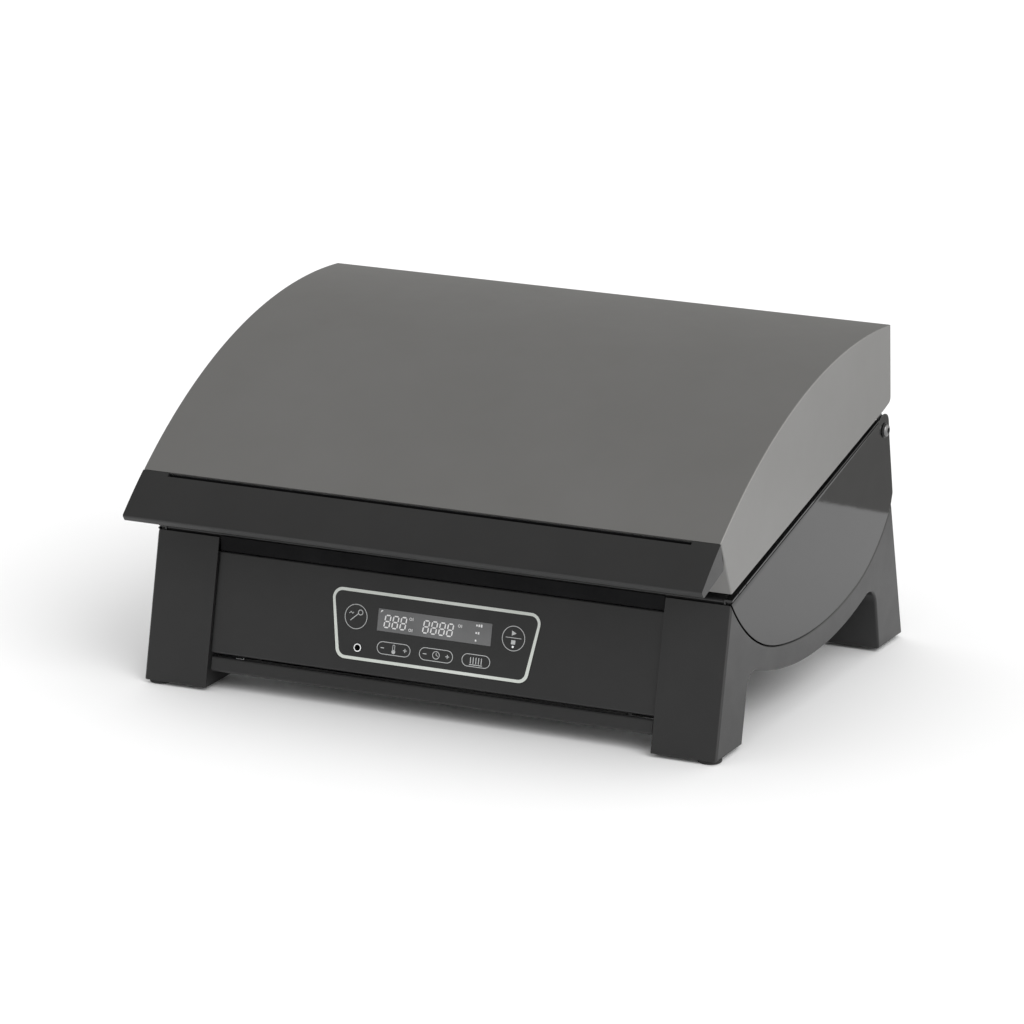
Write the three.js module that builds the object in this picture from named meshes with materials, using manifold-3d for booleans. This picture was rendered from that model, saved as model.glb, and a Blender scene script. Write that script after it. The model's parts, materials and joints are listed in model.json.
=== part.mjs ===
// Electric griddle with a hinged hood: a tabletop cooker on two side stands.
// Millimetres, +Z up, the front faces -Y, +X is the right-hand side.
// The origin is on the table, at the middle of the overall width and depth.

import * as THREE from 'three';
import { mergeVertices } from 'three/addons/utils/BufferGeometryUtils.js';
import Module from 'manifold-3d';

const wasm = await Module();
wasm.setup();

// ---------------------------------------------------------------- driving dimensions

const WIDTH = 640; // over the stands, and over the hood
const HALF = WIDTH / 2;
const SHEET = 1.5; // folded steel of the stands and the hood
const LINER = 1.2; // thinner steel of the firebox
const FIT = 0.3; // air between pieces that bear on each other
const SEAM = 0.4; // half of the visible seam between stand and firebox side

const FOOT_HEIGHT = 4;
const FOOT_RADIUS = 12;

// The stands lean in towards the top: Y = front + lean * Z.
const FRONT_Y = -224;
const FRONT_LEAN = 0.2256;
const REAR_Y = 264.5;
const REAR_LEAN = -0.2387;
const LEG_BACK_Y = -160.4; // back edge of the front leg
const REAR_LEG_FRONT_Y = 200; // front edge of the rear leg
const REAR_LEG_FRONT_LEAN = -0.2;
const LEG_WIDTH = 71.1;
const LEG_INNER = HALF - LEG_WIDTH;

// Underside of the firebox: three tangent arcs that dip between the legs.
const SEAM_FRONT = { y: -32.5, z: 276, r: 197.1 };
const SEAM_BOTTOM = { y: 15.3, z: 506, r: 432 };
const SEAM_REAR = { y: 80.3, z: 267.5, r: 184.8 };

// Arch cut in each stand, with its two round shoulders.
const ARCH = { y: 18.5, z: 497, r: 449 };
const FRONT_SHOULDER = 21;
const REAR_SHOULDER = 26;

// Firebox side panel above the seam.
const BOX_FRONT = { y: -188.5, z: 160.3 };
const RIM_SLOPE = 0.2465;
const BOX_REAR = { y: 230, z: 166 }; // lower rear corner
const LUG_REAR = { y: 218.5, z: 227 };
const LUG_TOP = 258.5;
const HINGE = { y: 203.8, z: 239 };

// Hood: one arc from the rear top edge down to the handle's nose.
const HOOD_ARC = { y: 159.5, z: -276.5, r: 627.7 };
const HOOD_REAR_TOP_Y = 216;
const HOOD_REAR_BOTTOM = { y: 220.5, z: 265.8 };
const HOOD_JUNCTION_Y = -217; // where the handle takes over
const HOOD_FRONT_BOTTOM = { y: -190, z: 167.6 };
const HANDLE_TIP_Y = -262.6;
const HANDLE_NOSE = { y: -257.6, z: 181.6 };
const HANDLE_HEEL = { y: -209.9, z: 197.3 };
const SLOT_HALF = 290; // shadow slot between hood and handle
const SLOT_HEIGHT = 5;

// Control fascia and the tray front, on one leaning plane between the front legs.
const FASCIA_SETBACK = 4;
const FASCIA_BOTTOM = 38.5;
const FASCIA_TOP = 141;
const TRAY_FRONT_BOTTOM = 20.5;
const TRAY_FRONT_TOP = 35.5;
const FRONT_GAP = 0.6; // each side of the fascia
const LEAN_ANGLE = Math.atan(FRONT_LEAN);
const SLOPE = Math.cos(LEAN_ANGLE); // height gained per millimetre up the plane

// Touch panel, measured up the leaning plane.
const PANEL = { bottom: 53, top: 125, bottomHalf: 106.5, topHalf: 118, corner: 11 };
const LENS = { width: 127, height: 22.7, centre: 97.1 };
const SOCKET = { x: -83, up: 65.8, outer: 4.4, bore: 3.6, depth: 15 };

// Cooking parts inside the firebox.
const PLATE = { half: 305, front: -164, rear: 176, bottom: 138, thick: 8, rim: 14 };
const ELEMENT_Z = 126;
const ELEMENT_RADIUS = 4;
const DRAIN_RADIUS = 9;

// Grease tray under the firebox.
const TRAY = { half: 215, rear: 130, bottom: 20.8, top: 35.4, wall: 1.2 };

const ARC_STEPS = 22;
const ROUND = 24; // sides of a round piece

// ---------------------------------------------------------------- finishes

const FINISHES = {
  standSteel: { color: 0x3a3a3b, roughness: 0.55, metalness: 0.3 },
  glossBlack: { color: 0x1c1c1d, roughness: 0.12, metalness: 0.2 },
  hoodSteel: { color: 0x6c6b69, roughness: 0.42, metalness: 0.6 },
  handleBlack: { color: 0x2b2b2c, roughness: 0.5, metalness: 0.2 },
  linerSteel: { color: 0x47484a, roughness: 0.45, metalness: 0.8 },
  bright: { color: 0xb9babb, roughness: 0.3, metalness: 0.95 },
  castPlate: { color: 0x222222, roughness: 0.6, metalness: 0.4 },
  element: { color: 0x4b4643, roughness: 0.5, metalness: 0.7 },
  rubber: { color: 0x151515, roughness: 0.85, metalness: 0 },
  silicone: { color: 0x26282a, roughness: 0.7, metalness: 0 },
  overlay: { color: 0x2d2e2f, roughness: 0.35, metalness: 0 },
  lens: { color: 0x6a6c6d, roughness: 0.1, metalness: 0 },
  board: { color: 0x1f5a36, roughness: 0.5, metalness: 0 },
  component: { color: 0x2a3038, roughness: 0.5, metalness: 0 },
  plastic: { color: 0x1d1d1e, roughness: 0.55, metalness: 0 },
};

// ---------------------------------------------------------------- shape helpers

/** Height of a circle's lower branch at y. */
const below = (arc, y, grow = 0) => arc.z - Math.sqrt((arc.r + grow) ** 2 - (y - arc.y) ** 2);

/** Height of the hood's outer arc at y, or of one inset from it. */
const hoodTop = (y, inset = 0) =>
  HOOD_ARC.z + Math.sqrt((HOOD_ARC.r - inset) ** 2 - (y - HOOD_ARC.y) ** 2);

/** Points on an arc from one y to another, found by the height function given. */
function sweep(height, from, to, steps = ARC_STEPS) {
  return Array.from({ length: steps + 1 }, (_, i) => {
    const y = from + ((to - from) * i) / steps;
    return [y, height(y)];
  });
}

/** Outline of a polygon whose corners may each be rounded: [y, z] or [y, z, radius]. */
function rounded(corners, steps = 6) {
  const outline = [];
  corners.forEach(([x, y, radius = 0], i) => {
    const here = new THREE.Vector2(x, y);
    if (radius === 0) {
      outline.push([x, y]);
      return;
    }
    const [px, py] = corners[(i + corners.length - 1) % corners.length];
    const [nx, ny] = corners[(i + 1) % corners.length];
    const back = new THREE.Vector2(px, py).sub(here).normalize();
    const ahead = new THREE.Vector2(nx, ny).sub(here).normalize();
    const half = Math.acos(THREE.MathUtils.clamp(back.dot(ahead), -1, 1)) / 2;
    const middle = back.clone().add(ahead).normalize().multiplyScalar(radius / Math.sin(half));
    const centre = here.clone().add(middle);
    const start = here.clone().addScaledVector(back, radius / Math.tan(half)).sub(centre);
    const end = here.clone().addScaledVector(ahead, radius / Math.tan(half)).sub(centre);
    let turn = end.angle() - start.angle();
    if (turn > Math.PI) turn -= 2 * Math.PI;
    if (turn < -Math.PI) turn += 2 * Math.PI;
    for (let k = 0; k <= steps; k++) {
      const point = start.clone().rotateAround(new THREE.Vector2(), (turn * k) / steps).add(centre);
      outline.push([point.x, point.y]);
    }
  });
  return outline;
}

/** Closed outline of a folded sheet that follows a path, its metal on the path's left side. */
function strip(path, thickness) {
  const points = path.map(([x, y]) => new THREE.Vector2(x, y));
  const shifted = points.map((point, i) => {
    const before = points[Math.max(i - 1, 0)];
    const after = points[Math.min(i + 1, points.length - 1)];
    const inward = (i > 0 ? point.clone().sub(before) : after.clone().sub(point)).normalize();
    const outward = (i < points.length - 1 ? after.clone().sub(point) : inward.clone()).normalize();
    const normal = new THREE.Vector2(-inward.y - outward.y, inward.x + outward.x).normalize();
    const stretch = thickness / Math.max(normal.dot(new THREE.Vector2(-inward.y, inward.x)), 0.35);
    return point.clone().addScaledVector(normal, stretch);
  });
  return [...points, ...shifted.reverse()].map((point) => [point.x, point.y]);
}

/** A flat outline given thickness along +Z. */
function slab(outline, from, to, holes = []) {
  const shape = new THREE.Shape(outline.map(([x, y]) => new THREE.Vector2(x, y)));
  for (const hole of holes) {
    shape.holes.push(new THREE.Path(hole.map(([x, y]) => new THREE.Vector2(x, y))));
  }
  const geometry = new THREE.ExtrudeGeometry(shape, { depth: to - from, bevelEnabled: false });
  return geometry.translate(0, 0, from);
}

/** A side profile of [y, z] points given width along X, from one x to another. */
function prism(outline, from, to) {
  const turn = new THREE.Matrix4().set(0, 0, 1, 0, 1, 0, 0, 0, 0, 1, 0, 0, 0, 0, 0, 1);
  return slab(outline, from, to).applyMatrix4(turn);
}

/** A box between two corners. */
function block([x0, y0, z0], [x1, y1, z1]) {
  const geometry = new THREE.BoxGeometry(x1 - x0, y1 - y0, z1 - z0);
  return geometry.translate((x0 + x1) / 2, (y0 + y1) / 2, (z0 + z1) / 2);
}

/** A circle as an outline. */
function circle(x, y, radius, sides = ROUND) {
  return Array.from({ length: sides }, (_, i) => {
    const angle = (2 * Math.PI * i) / sides;
    return [x + radius * Math.cos(angle), y + radius * Math.sin(angle)];
  });
}

/** A turned piece about +Z from [radius, z] points, closed on the axis or on itself. */
function turned(profile, sides = ROUND) {
  const points = profile.map(([radius, z]) => new THREE.Vector2(radius, z));
  return new THREE.LatheGeometry(points, sides).rotateX(Math.PI / 2);
}

/** A turned piece laid along X, its +Z towards the given side. */
function turnedAlongX(profile, side, sides = ROUND) {
  return turned(profile, sides).rotateY((side * Math.PI) / 2);
}

/** Mirrors geometry across the middle plane and keeps its faces pointing out. */
function mirrored(geometry) {
  return asGeometry(asSolid(geometry).mirror([1, 0, 0]));
}

function asSolid(geometry) {
  const bare = geometry.index ? geometry.toNonIndexed() : geometry.clone();
  bare.deleteAttribute('normal');
  bare.deleteAttribute('uv');
  const merged = mergeVertices(bare, 1e-4);
  return new wasm.Manifold(
    new wasm.Mesh({
      numProp: 3,
      vertProperties: new Float32Array(merged.attributes.position.array),
      triVerts: Uint32Array.from(merged.index.array),
    }),
  );
}

function asGeometry(solid) {
  const mesh = solid.getMesh();
  const geometry = new THREE.BufferGeometry();
  geometry.setAttribute('position', new THREE.BufferAttribute(mesh.vertProperties, 3));
  geometry.setIndex(new THREE.BufferAttribute(mesh.triVerts, 1));
  geometry.computeVertexNormals();
  return geometry;
}

/** Joins geometries into one body. */
const join = (...parts) => asGeometry(parts.map(asSolid).reduce((all, part) => all.add(part)));

/** Cuts every tool out of a body. */
const cut = (body, ...tools) =>
  asGeometry(tools.map(asSolid).reduce((rest, tool) => rest.subtract(tool), asSolid(body)));

const griddle = new THREE.Group();

/** Adds a named piece with its own material to a group. */
function add(name, geometry, finish, group = griddle) {
  const mesh = new THREE.Mesh(geometry, new THREE.MeshStandardMaterial(FINISHES[finish]));
  mesh.name = name;
  group.add(mesh);
  return mesh;
}

/** Adds a right-hand piece and its mirror image on the left. */
function addPair(name, rightGeometry, finish, group = griddle) {
  add(`${name}_right`, rightGeometry, finish, group);
  add(`${name}_left`, mirrored(rightGeometry), finish, group);
}

// ---------------------------------------------------------------- stands

/** The y of a leaning edge at a height. */
const leaning = (y, lean, z) => y + lean * z;

/** Where a leaning edge meets the outer end of a seam arc, found by halving. */
function tipHeight(edgeY, lean, arc, grow, side) {
  let low = 60;
  let high = 240;
  for (let i = 0; i < 50; i++) {
    const z = (low + high) / 2;
    const reach = Math.sqrt((arc.r + grow) ** 2 - (z - arc.z) ** 2);
    const inside = side * (leaning(edgeY, lean, z) - arc.y) > reach;
    if (inside) low = z;
    else high = z;
  }
  return (low + high) / 2;
}

/** The three tangent arcs of the seam, from front to rear, moved down by grow. */
function seamLine(fromY, toY, grow) {
  const touch = (arc) => {
    const away = new THREE.Vector2(arc.y - SEAM_BOTTOM.y, arc.z - SEAM_BOTTOM.z).normalize();
    return arc.y + away.x * (arc.r + grow);
  };
  const first = touch(SEAM_FRONT);
  const second = touch(SEAM_REAR);
  const lower = (arc) => (y) => below(arc, y, grow);
  return [
    ...arcByAngle(SEAM_FRONT, grow, fromY, first),
    ...sweep(lower(SEAM_BOTTOM), first, second, 12).slice(1),
    ...arcByAngle(SEAM_REAR, grow, second, toY).slice(1),
  ];
}

/** Points on a circle's lower branch between two y values, evenly spaced in angle. */
function arcByAngle(arc, grow, fromY, toY, steps = 12) {
  const radius = arc.r + grow;
  const start = Math.asin(THREE.MathUtils.clamp((fromY - arc.y) / radius, -1, 1));
  const end = Math.asin(THREE.MathUtils.clamp((toY - arc.y) / radius, -1, 1));
  return Array.from({ length: steps + 1 }, (_, i) => {
    const angle = start + ((end - start) * i) / steps;
    return [arc.y + radius * Math.sin(angle), arc.z - radius * Math.cos(angle)];
  });
}

/** Side outline of a stand, or the same outline moved inwards everywhere by inset. */
function standOutline(inset) {
  const base = FOOT_HEIGHT + inset;
  const across = (lean) => inset * Math.hypot(1, lean);
  const front = FRONT_Y + across(FRONT_LEAN);
  const rear = REAR_Y - across(REAR_LEAN);
  const legBack = LEG_BACK_Y - across(FRONT_LEAN);
  const rearLegFront = REAR_LEG_FRONT_Y + across(REAR_LEG_FRONT_LEAN);
  const grow = SEAM + inset;
  const frontTip = tipHeight(front, FRONT_LEAN, SEAM_FRONT, grow, -1);
  const rearTip = tipHeight(rear, REAR_LEAN, SEAM_REAR, grow, 1);
  const archR = ARCH.r - inset;
  const arch = (y) => ARCH.z - Math.sqrt(archR ** 2 - (y - ARCH.y) ** 2);
  const shoulderY = 24; // how far along the arch a shoulder's tangent point lies
  const frontCorner = meet(legBack, FRONT_LEAN, arch);
  const rearCorner = meet(rearLegFront, REAR_LEG_FRONT_LEAN, arch);
  const archFrom = frontCorner.y + shoulderY;
  const archTo = rearCorner.y - shoulderY;
  const middle = sweep(arch, archTo, archFrom, 14);
  return rounded([
    [leaning(front, FRONT_LEAN, base), base],
    [leaning(legBack, FRONT_LEAN, base), base],
    [frontCorner.y, frontCorner.z, FRONT_SHOULDER - 4 + inset],
    ...middle.reverse(),
    [rearCorner.y, rearCorner.z, REAR_SHOULDER - 6 + inset],
    [leaning(rearLegFront, REAR_LEG_FRONT_LEAN, base), base],
    [leaning(rear, REAR_LEAN, base), base],
    ...seamLine(
      leaning(front, FRONT_LEAN, frontTip),
      leaning(rear, REAR_LEAN, rearTip),
      grow,
    ).reverse(),
  ]);
}

/** Where a leaning edge crosses a curve given by its height function. */
function meet(edgeY, lean, height) {
  let z = 70;
  for (let i = 0; i < 40; i++) z = height(leaning(edgeY, lean, z));
  return { y: leaning(edgeY, lean, z), z };
}

/** Right stand: a deep pressing, open towards the middle, with a boxed front leg. */
function standRight() {
  const pressing = prism(standOutline(0), LEG_INNER, HALF);
  const hollow = prism(standOutline(SHEET), LEG_INNER - 1, HALF - SHEET);
  const cheek = [
    [leaning(FRONT_Y, FRONT_LEAN, FOOT_HEIGHT), FOOT_HEIGHT],
    [leaning(FRONT_Y + 53, FRONT_LEAN, FOOT_HEIGHT), FOOT_HEIGHT],
    [leaning(FRONT_Y + 50, FRONT_LEAN, 100), 100],
    [leaning(FRONT_Y + 7, FRONT_LEAN, 140), 140],
    [leaning(FRONT_Y, FRONT_LEAN, 140), 140],
  ];
  const inner = prism(cheek, LEG_INNER, LEG_INNER + SHEET);
  const shell = join(cut(pressing, hollow), inner);
  const holes = footPlaces().map(([x, y]) =>
    slab(circle(x, y, 4.6, 16), FOOT_HEIGHT - 1, FOOT_HEIGHT + SHEET + 1),
  );
  return cut(shell, ...holes);
}

/** Foot centres under the right stand: front, then rear. */
function footPlaces() {
  return [
    [HALF - 12.6, leaning(FRONT_Y, FRONT_LEAN, FOOT_HEIGHT) + 13.5],
    [HALF - LEG_WIDTH / 2, leaning(REAR_Y, REAR_LEAN, FOOT_HEIGHT) - 32],
  ];
}

/** Rubber foot with a barbed stem that snaps through the stand's base. */
function foot() {
  const top = FOOT_HEIGHT - FIT;
  const plate = FOOT_HEIGHT + SHEET + FIT;
  return turned([
    [0, 0],
    [FOOT_RADIUS - 1.2, 0],
    [FOOT_RADIUS, 1.2],
    [FOOT_RADIUS, top - 0.8],
    [FOOT_RADIUS - 0.8, top],
    [4, top],
    [4, plate],
    [6.2, plate],
    [3, plate + 5],
    [0, plate + 5],
  ]);
}

addPair('stand', standRight(), 'standSteel');
footPlaces().forEach(([x, y], i) => {
  for (const [side, label] of [[1, 'right'], [-1, 'left']]) {
    const mesh = add(`foot_${i ? 'rear' : 'front'}_${label}`, foot(), 'rubber');
    mesh.position.set(side * x, y, 0);
  }
});

// ---------------------------------------------------------------- firebox

const RIM_CAP = 2; // how far the liner's cap stands above the side panel

/** Height of the rim line at y. */
const rim = (y) => BOX_FRONT.z + RIM_SLOPE * (y - BOX_FRONT.y);

/** Outline of the firebox side panel, from the front corner round the hinge lug. */
function sidePanelOutline() {
  const seamStartZ = BOX_FRONT.z - 3.5;
  const seamFront = SEAM_FRONT.y - Math.sqrt((SEAM_FRONT.r - SEAM) ** 2 - (seamStartZ - SEAM_FRONT.z) ** 2);
  const seamEndZ = BOX_REAR.z - 12;
  const seamRear = SEAM_REAR.y + Math.sqrt((SEAM_REAR.r - SEAM) ** 2 - (seamEndZ - SEAM_REAR.z) ** 2);
  return rounded([
    ...seamLine(seamFront, seamRear, -SEAM),
    [BOX_REAR.y, BOX_REAR.z, 3],
    [LUG_REAR.y, LUG_REAR.z],
    [LUG_REAR.y - 4, LUG_TOP, 11],
    [LUG_REAR.y - 24, LUG_TOP - 0.5, 4],
    [LUG_REAR.y - 32, rim(LUG_REAR.y - 32) - RIM_CAP],
    [BOX_FRONT.y, BOX_FRONT.z - RIM_CAP],
  ]);
}

/** The bent sheet that forms the firebox's front lip, curved floor and rear wall. */
function fireboxShell() {
  const inset = -SEAM - 1;
  const floor = seamLine(-181, 222, inset);
  const path = [
    [BOX_FRONT.y + 20, rim(BOX_FRONT.y + 20) - LINER],
    [BOX_FRONT.y + 1, rim(BOX_FRONT.y) - LINER],
    [BOX_FRONT.y + 5.5, 152],
    ...floor,
    [228, 166],
    [LUG_REAR.y - 0.6, 222],
    [LUG_REAR.y - 3.5, 248],
  ];
  const half = HALF - SHEET - FIT;
  const sheet = prism(strip(path, LINER), -half, half);
  const drain = slab(circle(DRAIN_X, SEAM_BOTTOM.y, DRAIN_RADIUS + FIT), 60, 95);
  const armNotch = (side) =>
    block([side > 0 ? 300 : -330, 195, 218], [side > 0 ? 330 : -300, 240, 260]);
  const vents = Array.from({ length: 9 }, (_, i) => {
    const x = -200 + i * 50;
    return block([x - 14, 200, 232], [x + 14, 240, 238]);
  });
  const leads = [-1, 1].map((side) => alongY(LEAD_X * side, ELEMENT_Z, ELEMENT_RADIUS + 0.8, 180, 230));
  return cut(sheet, drain, armNotch(1), armNotch(-1), ...vents, ...leads);
}

/** A cylinder along Y between two y values. */
function alongY(x, z, radius, from, to) {
  return turned([[0, 0], [radius, 0], [radius, to - from], [0, to - from]], 16)
    .rotateX(-Math.PI / 2)
    .translate(x, from, z);
}

const DRAIN_X = 0;
const LEAD_X = 30; // the element's two ends, either side of the middle
const LINER_X = HALF - 8; // outer face of the liner's side wall

/** Right side liner: an inner wall whose top folds out over the side panel. */
function linerRight() {
  const wall = [
    ...seamLine(-178, 214, -SEAM - 1 - LINER - 0.6),
    [212, 216],
    [186, rim(186)],
    [BOX_FRONT.y + 21, rim(BOX_FRONT.y + 21)],
    [BOX_FRONT.y + 21, rim(BOX_FRONT.y + 21) - 6],
  ];
  const capFrom = BOX_FRONT.y + 21;
  const cap = [
    [capFrom, rim(capFrom)],
    [capFrom, rim(capFrom) - LINER],
    [183, rim(183) - LINER],
    [183, rim(183)],
  ];
  return join(prism(wall, LINER_X - LINER, LINER_X), prism(cap, LINER_X - LINER, HALF));
}

/** Ledge angle on the liner that carries the griddle plate. */
function plateLedgeRight() {
  const outer = LINER_X - LINER - FIT;
  const top = PLATE.bottom - FIT;
  const section = [
    [outer, top - 14],
    [outer, top],
    [PLATE.half - 11, top],
    [PLATE.half - 11, top - 2],
    [outer - 2, top - 2],
    [outer - 2, top - 14],
  ];
  return slab(section, -PLATE.rear + 10, -PLATE.front - 24).rotateX(Math.PI / 2);
}

/** Bright deflector under the element: a shallow folded sheet with a drain hole. */
function reflector() {
  const path = [
    [-128, 118],
    [-118, 106],
    [DRAIN_X, 98],
    [150, 106],
    [160, 118],
  ];
  const sheet = prism(strip(path, LINER), -296, 296);
  return cut(sheet, slab(circle(DRAIN_X, SEAM_BOTTOM.y, 14), 80, 125));
}

/** Short spout that carries grease from the firebox floor towards the tray. */
function drainSpout() {
  const lip = below(SEAM_BOTTOM, SEAM_BOTTOM.y, -SEAM - 1) + LINER + FIT;
  return turned([
    [DRAIN_RADIUS - 1.5, 48],
    [DRAIN_RADIUS, 48],
    [DRAIN_RADIUS, lip],
    [DRAIN_RADIUS + 6, lip + 0.4],
    [DRAIN_RADIUS + 6, lip + 1.6],
    [DRAIN_RADIUS - 1.5, lip + 1.2],
    [DRAIN_RADIUS - 1.5, 48],
  ]).translate(DRAIN_X, SEAM_BOTTOM.y, 0);
}

/** A path of straight runs joined by round bends, as one curve. */
function bentPath(corners, radius) {
  const path = new THREE.CurvePath();
  let from = corners[0];
  for (let i = 1; i < corners.length - 1; i++) {
    const back = corners[i - 1].clone().sub(corners[i]).setLength(radius);
    const ahead = corners[i + 1].clone().sub(corners[i]).setLength(radius);
    const start = corners[i].clone().add(back);
    const end = corners[i].clone().add(ahead);
    path.add(new THREE.LineCurve3(from, start));
    path.add(new THREE.QuadraticBezierCurve3(start, corners[i], end));
    from = end;
  }
  path.add(new THREE.LineCurve3(from, corners[corners.length - 1]));
  return path;
}

/** Sheathed heating element: one tube, both ends leaving through the rear. */
function heatingElement() {
  const half = [
    [LEAD_X, 214], [LEAD_X, 132], [262, 132], [262, 50], [84, 50], [84, -34], [262, -34], [262, -116],
  ];
  const right = half.map(([x, y]) => new THREE.Vector3(x, y, ELEMENT_Z));
  const left = half.map(([x, y]) => new THREE.Vector3(-x, y, ELEMENT_Z)).reverse();
  const route = bentPath([...right, ...left], 32);
  const section = new THREE.Shape(
    circle(0, 0, ELEMENT_RADIUS, 8).map(([x, y]) => new THREE.Vector2(x, y)),
  );
  return new THREE.ExtrudeGeometry(section, { steps: 170, extrudePath: route, bevelEnabled: false });
}

/** Temperature sensor that touches the plate's underside at the middle. */
function temperatureSensor() {
  const top = PLATE.bottom - FIT;
  return turned([[0, top - 20], [3, top - 20], [3, top - 6], [7, top - 5], [7, top], [0, top]])
    .translate(0, 10, 0);
}

/** Over-temperature cut-out disc, beside the sensor, on the deflector. */
const thermalCutout = () =>
  turned([[0, 101], [9, 101], [9, 107], [7, 109], [0, 109]]).translate(60, 10, 0);

/** Flat bracket that carries the runs of the element. */
function elementBracket(x) {
  const top = ELEMENT_Z - ELEMENT_RADIUS - FIT;
  return block([x - 8, -112, top - 2], [x + 8, 140, top]);
}

/** Glossy right side panel with the hole for the pivot screw. */
function fireboxSideRight() {
  return cut(prism(sidePanelOutline(), HALF - SHEET, HALF), pivotBore(3.9));
}

/** A cylinder along the right end of the hinge axis, to cut a bore with. */
function pivotBore(radius) {
  const bore = turnedAlongX([[0, 0], [radius, 0], [radius, 30], [0, 30]], 1, 16);
  return bore.translate(300, HINGE.y, HINGE.z);
}

addPair('firebox_side', fireboxSideRight(), 'glossBlack');
add('firebox_shell', fireboxShell(), 'linerSteel');
addPair('firebox_liner', linerRight(), 'linerSteel');
addPair('plate_ledge', plateLedgeRight(), 'linerSteel');
add('heat_reflector', reflector(), 'bright');
add('drain_spout', drainSpout(), 'bright');
add('heating_element', heatingElement(), 'element');
addPair('element_bracket', elementBracket(150), 'bright');
addPair('hood_bumper', block([228, -186, 161.3], [248, -181, 168.3]), 'silicone');
add('temperature_sensor', temperatureSensor(), 'bright');
add('thermal_cutout', thermalCutout(), 'component');

// ---------------------------------------------------------------- griddle plate

/** Cast plate with a raised rim, a run-off channel at the front and a drain hole. */
function griddlePlate() {
  const { half, front, rear, bottom, thick, rim: height } = PLATE;
  const outer = rounded([[-half, front, 14], [half, front, 14], [half, rear, 14], [-half, rear, 14]]);
  const wall = 7;
  const inner = rounded([
    [-half + wall, front + wall, 9],
    [half - wall, front + wall, 9],
    [half - wall, rear - wall, 9],
    [-half + wall, rear - wall, 9],
  ]);
  const channelFrom = front + wall + 3;
  const channel = rounded([
    [-half + 22, channelFrom, 8],
    [half - 22, channelFrom, 8],
    [half - 22, channelFrom + 18, 8],
    [-half + 22, channelFrom + 18, 8],
  ]);
  return cut(
    slab(outer, bottom, bottom + height),
    slab(inner, bottom + thick, bottom + height + 1),
    slab(channel, bottom + thick - 3.5, bottom + height + 1),
    slab(circle(0, channelFrom + 9, 6), bottom - 1, bottom + height),
  );
}

add('griddle_plate', griddlePlate(), 'castPlate');

// ---------------------------------------------------------------- hood

/** Side outline of the hood, moved inwards by inset, with its lower rear corner rounded. */
function hoodOutline(inset) {
  const front = HOOD_JUNCTION_Y + inset;
  const slopeIn = inset * 1.1;
  return rounded([
    [HOOD_FRONT_BOTTOM.y + slopeIn, HOOD_FRONT_BOTTOM.z],
    [HOOD_REAR_BOTTOM.y - inset, HOOD_REAR_BOTTOM.z, 7],
    ...sweep((y) => hoodTop(y, inset), HOOD_REAR_TOP_Y - inset, front),
  ]);
}

/** Hood skin: front panel, arched top and rear wall in one bent sheet. */
function hoodSkin() {
  const path = [
    [HOOD_FRONT_BOTTOM.y + 12, HOOD_FRONT_BOTTOM.z + 3.2],
    [HOOD_FRONT_BOTTOM.y, HOOD_FRONT_BOTTOM.z],
    ...sweep((y) => hoodTop(y), HOOD_JUNCTION_Y, HOOD_REAR_TOP_Y, 26),
    [HOOD_REAR_BOTTOM.y, HOOD_REAR_BOTTOM.z + 3],
  ];
  const half = HALF - SHEET - FIT;
  return prism(strip(path.reverse(), SHEET), -half, half);
}

/** Right hinge arm: bolted inside the hood's side, it drops to the pivot. */
function hingeArmRight() {
  const outer = HALF - SHEET - FIT;
  const arm = rounded([
    [HINGE.y - 12, HINGE.z - 12, 11],
    [HINGE.y + 12, HINGE.z - 12, 11],
    [HINGE.y + 12, HINGE.z + 26, 3],
    [HINGE.y + 6, HINGE.z + 62, 8],
    [HINGE.y - 34, HINGE.z + 52, 8],
    [HINGE.y - 12, HINGE.z + 20, 4],
  ]);
  return cut(prism(arm, outer - 2.5, outer), pivotBore(3.9));
}

/** Pivot screw with a domed head and cross recess, through side panel and arm. */
function hingeScrewRight() {
  const face = HALF + FIT + 1;
  const screw = turnedAlongX([
    [0, 0],
    [3.5, 0],
    [3.5, face - 308],
    [6.6, face - 308],
    [6.6, face - 306.8],
    [5.4, face - 305.6],
    [3, face - 304.9],
    [0, face - 304.7],
  ], 1, 20).translate(308, HINGE.y, HINGE.z);
  const reach = 1.6;
  const arms = [[3.2, 0.6], [0.6, 3.2]].map(([half, thin]) =>
    block(
      [face + reach, HINGE.y - half, HINGE.z - thin],
      [face + 6, HINGE.y + half, HINGE.z + thin],
    ),
  );
  return cut(screw, ...arms);
}

/** Washer under the pivot screw's head, outside the side panel. */
function hingeWasherRight() {
  return turnedAlongX([[3.9, 0], [7.8, 0], [7.8, 1], [3.9, 1], [3.9, 0]], 1, 20)
    .translate(HALF + FIT / 2, HINGE.y, HINGE.z);
}

/** Keeper nut on the pivot screw, inside the arm. */
function hingeNutRight() {
  const outer = HALF - SHEET - FIT - 2.5 - FIT;
  return turnedAlongX([[4.5, 0], [7.2, 0], [7.2, 3.4], [4.5, 3.4], [4.5, 0]], 1, 6)
    .translate(outer - 3.4, HINGE.y, HINGE.z);
}

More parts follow.
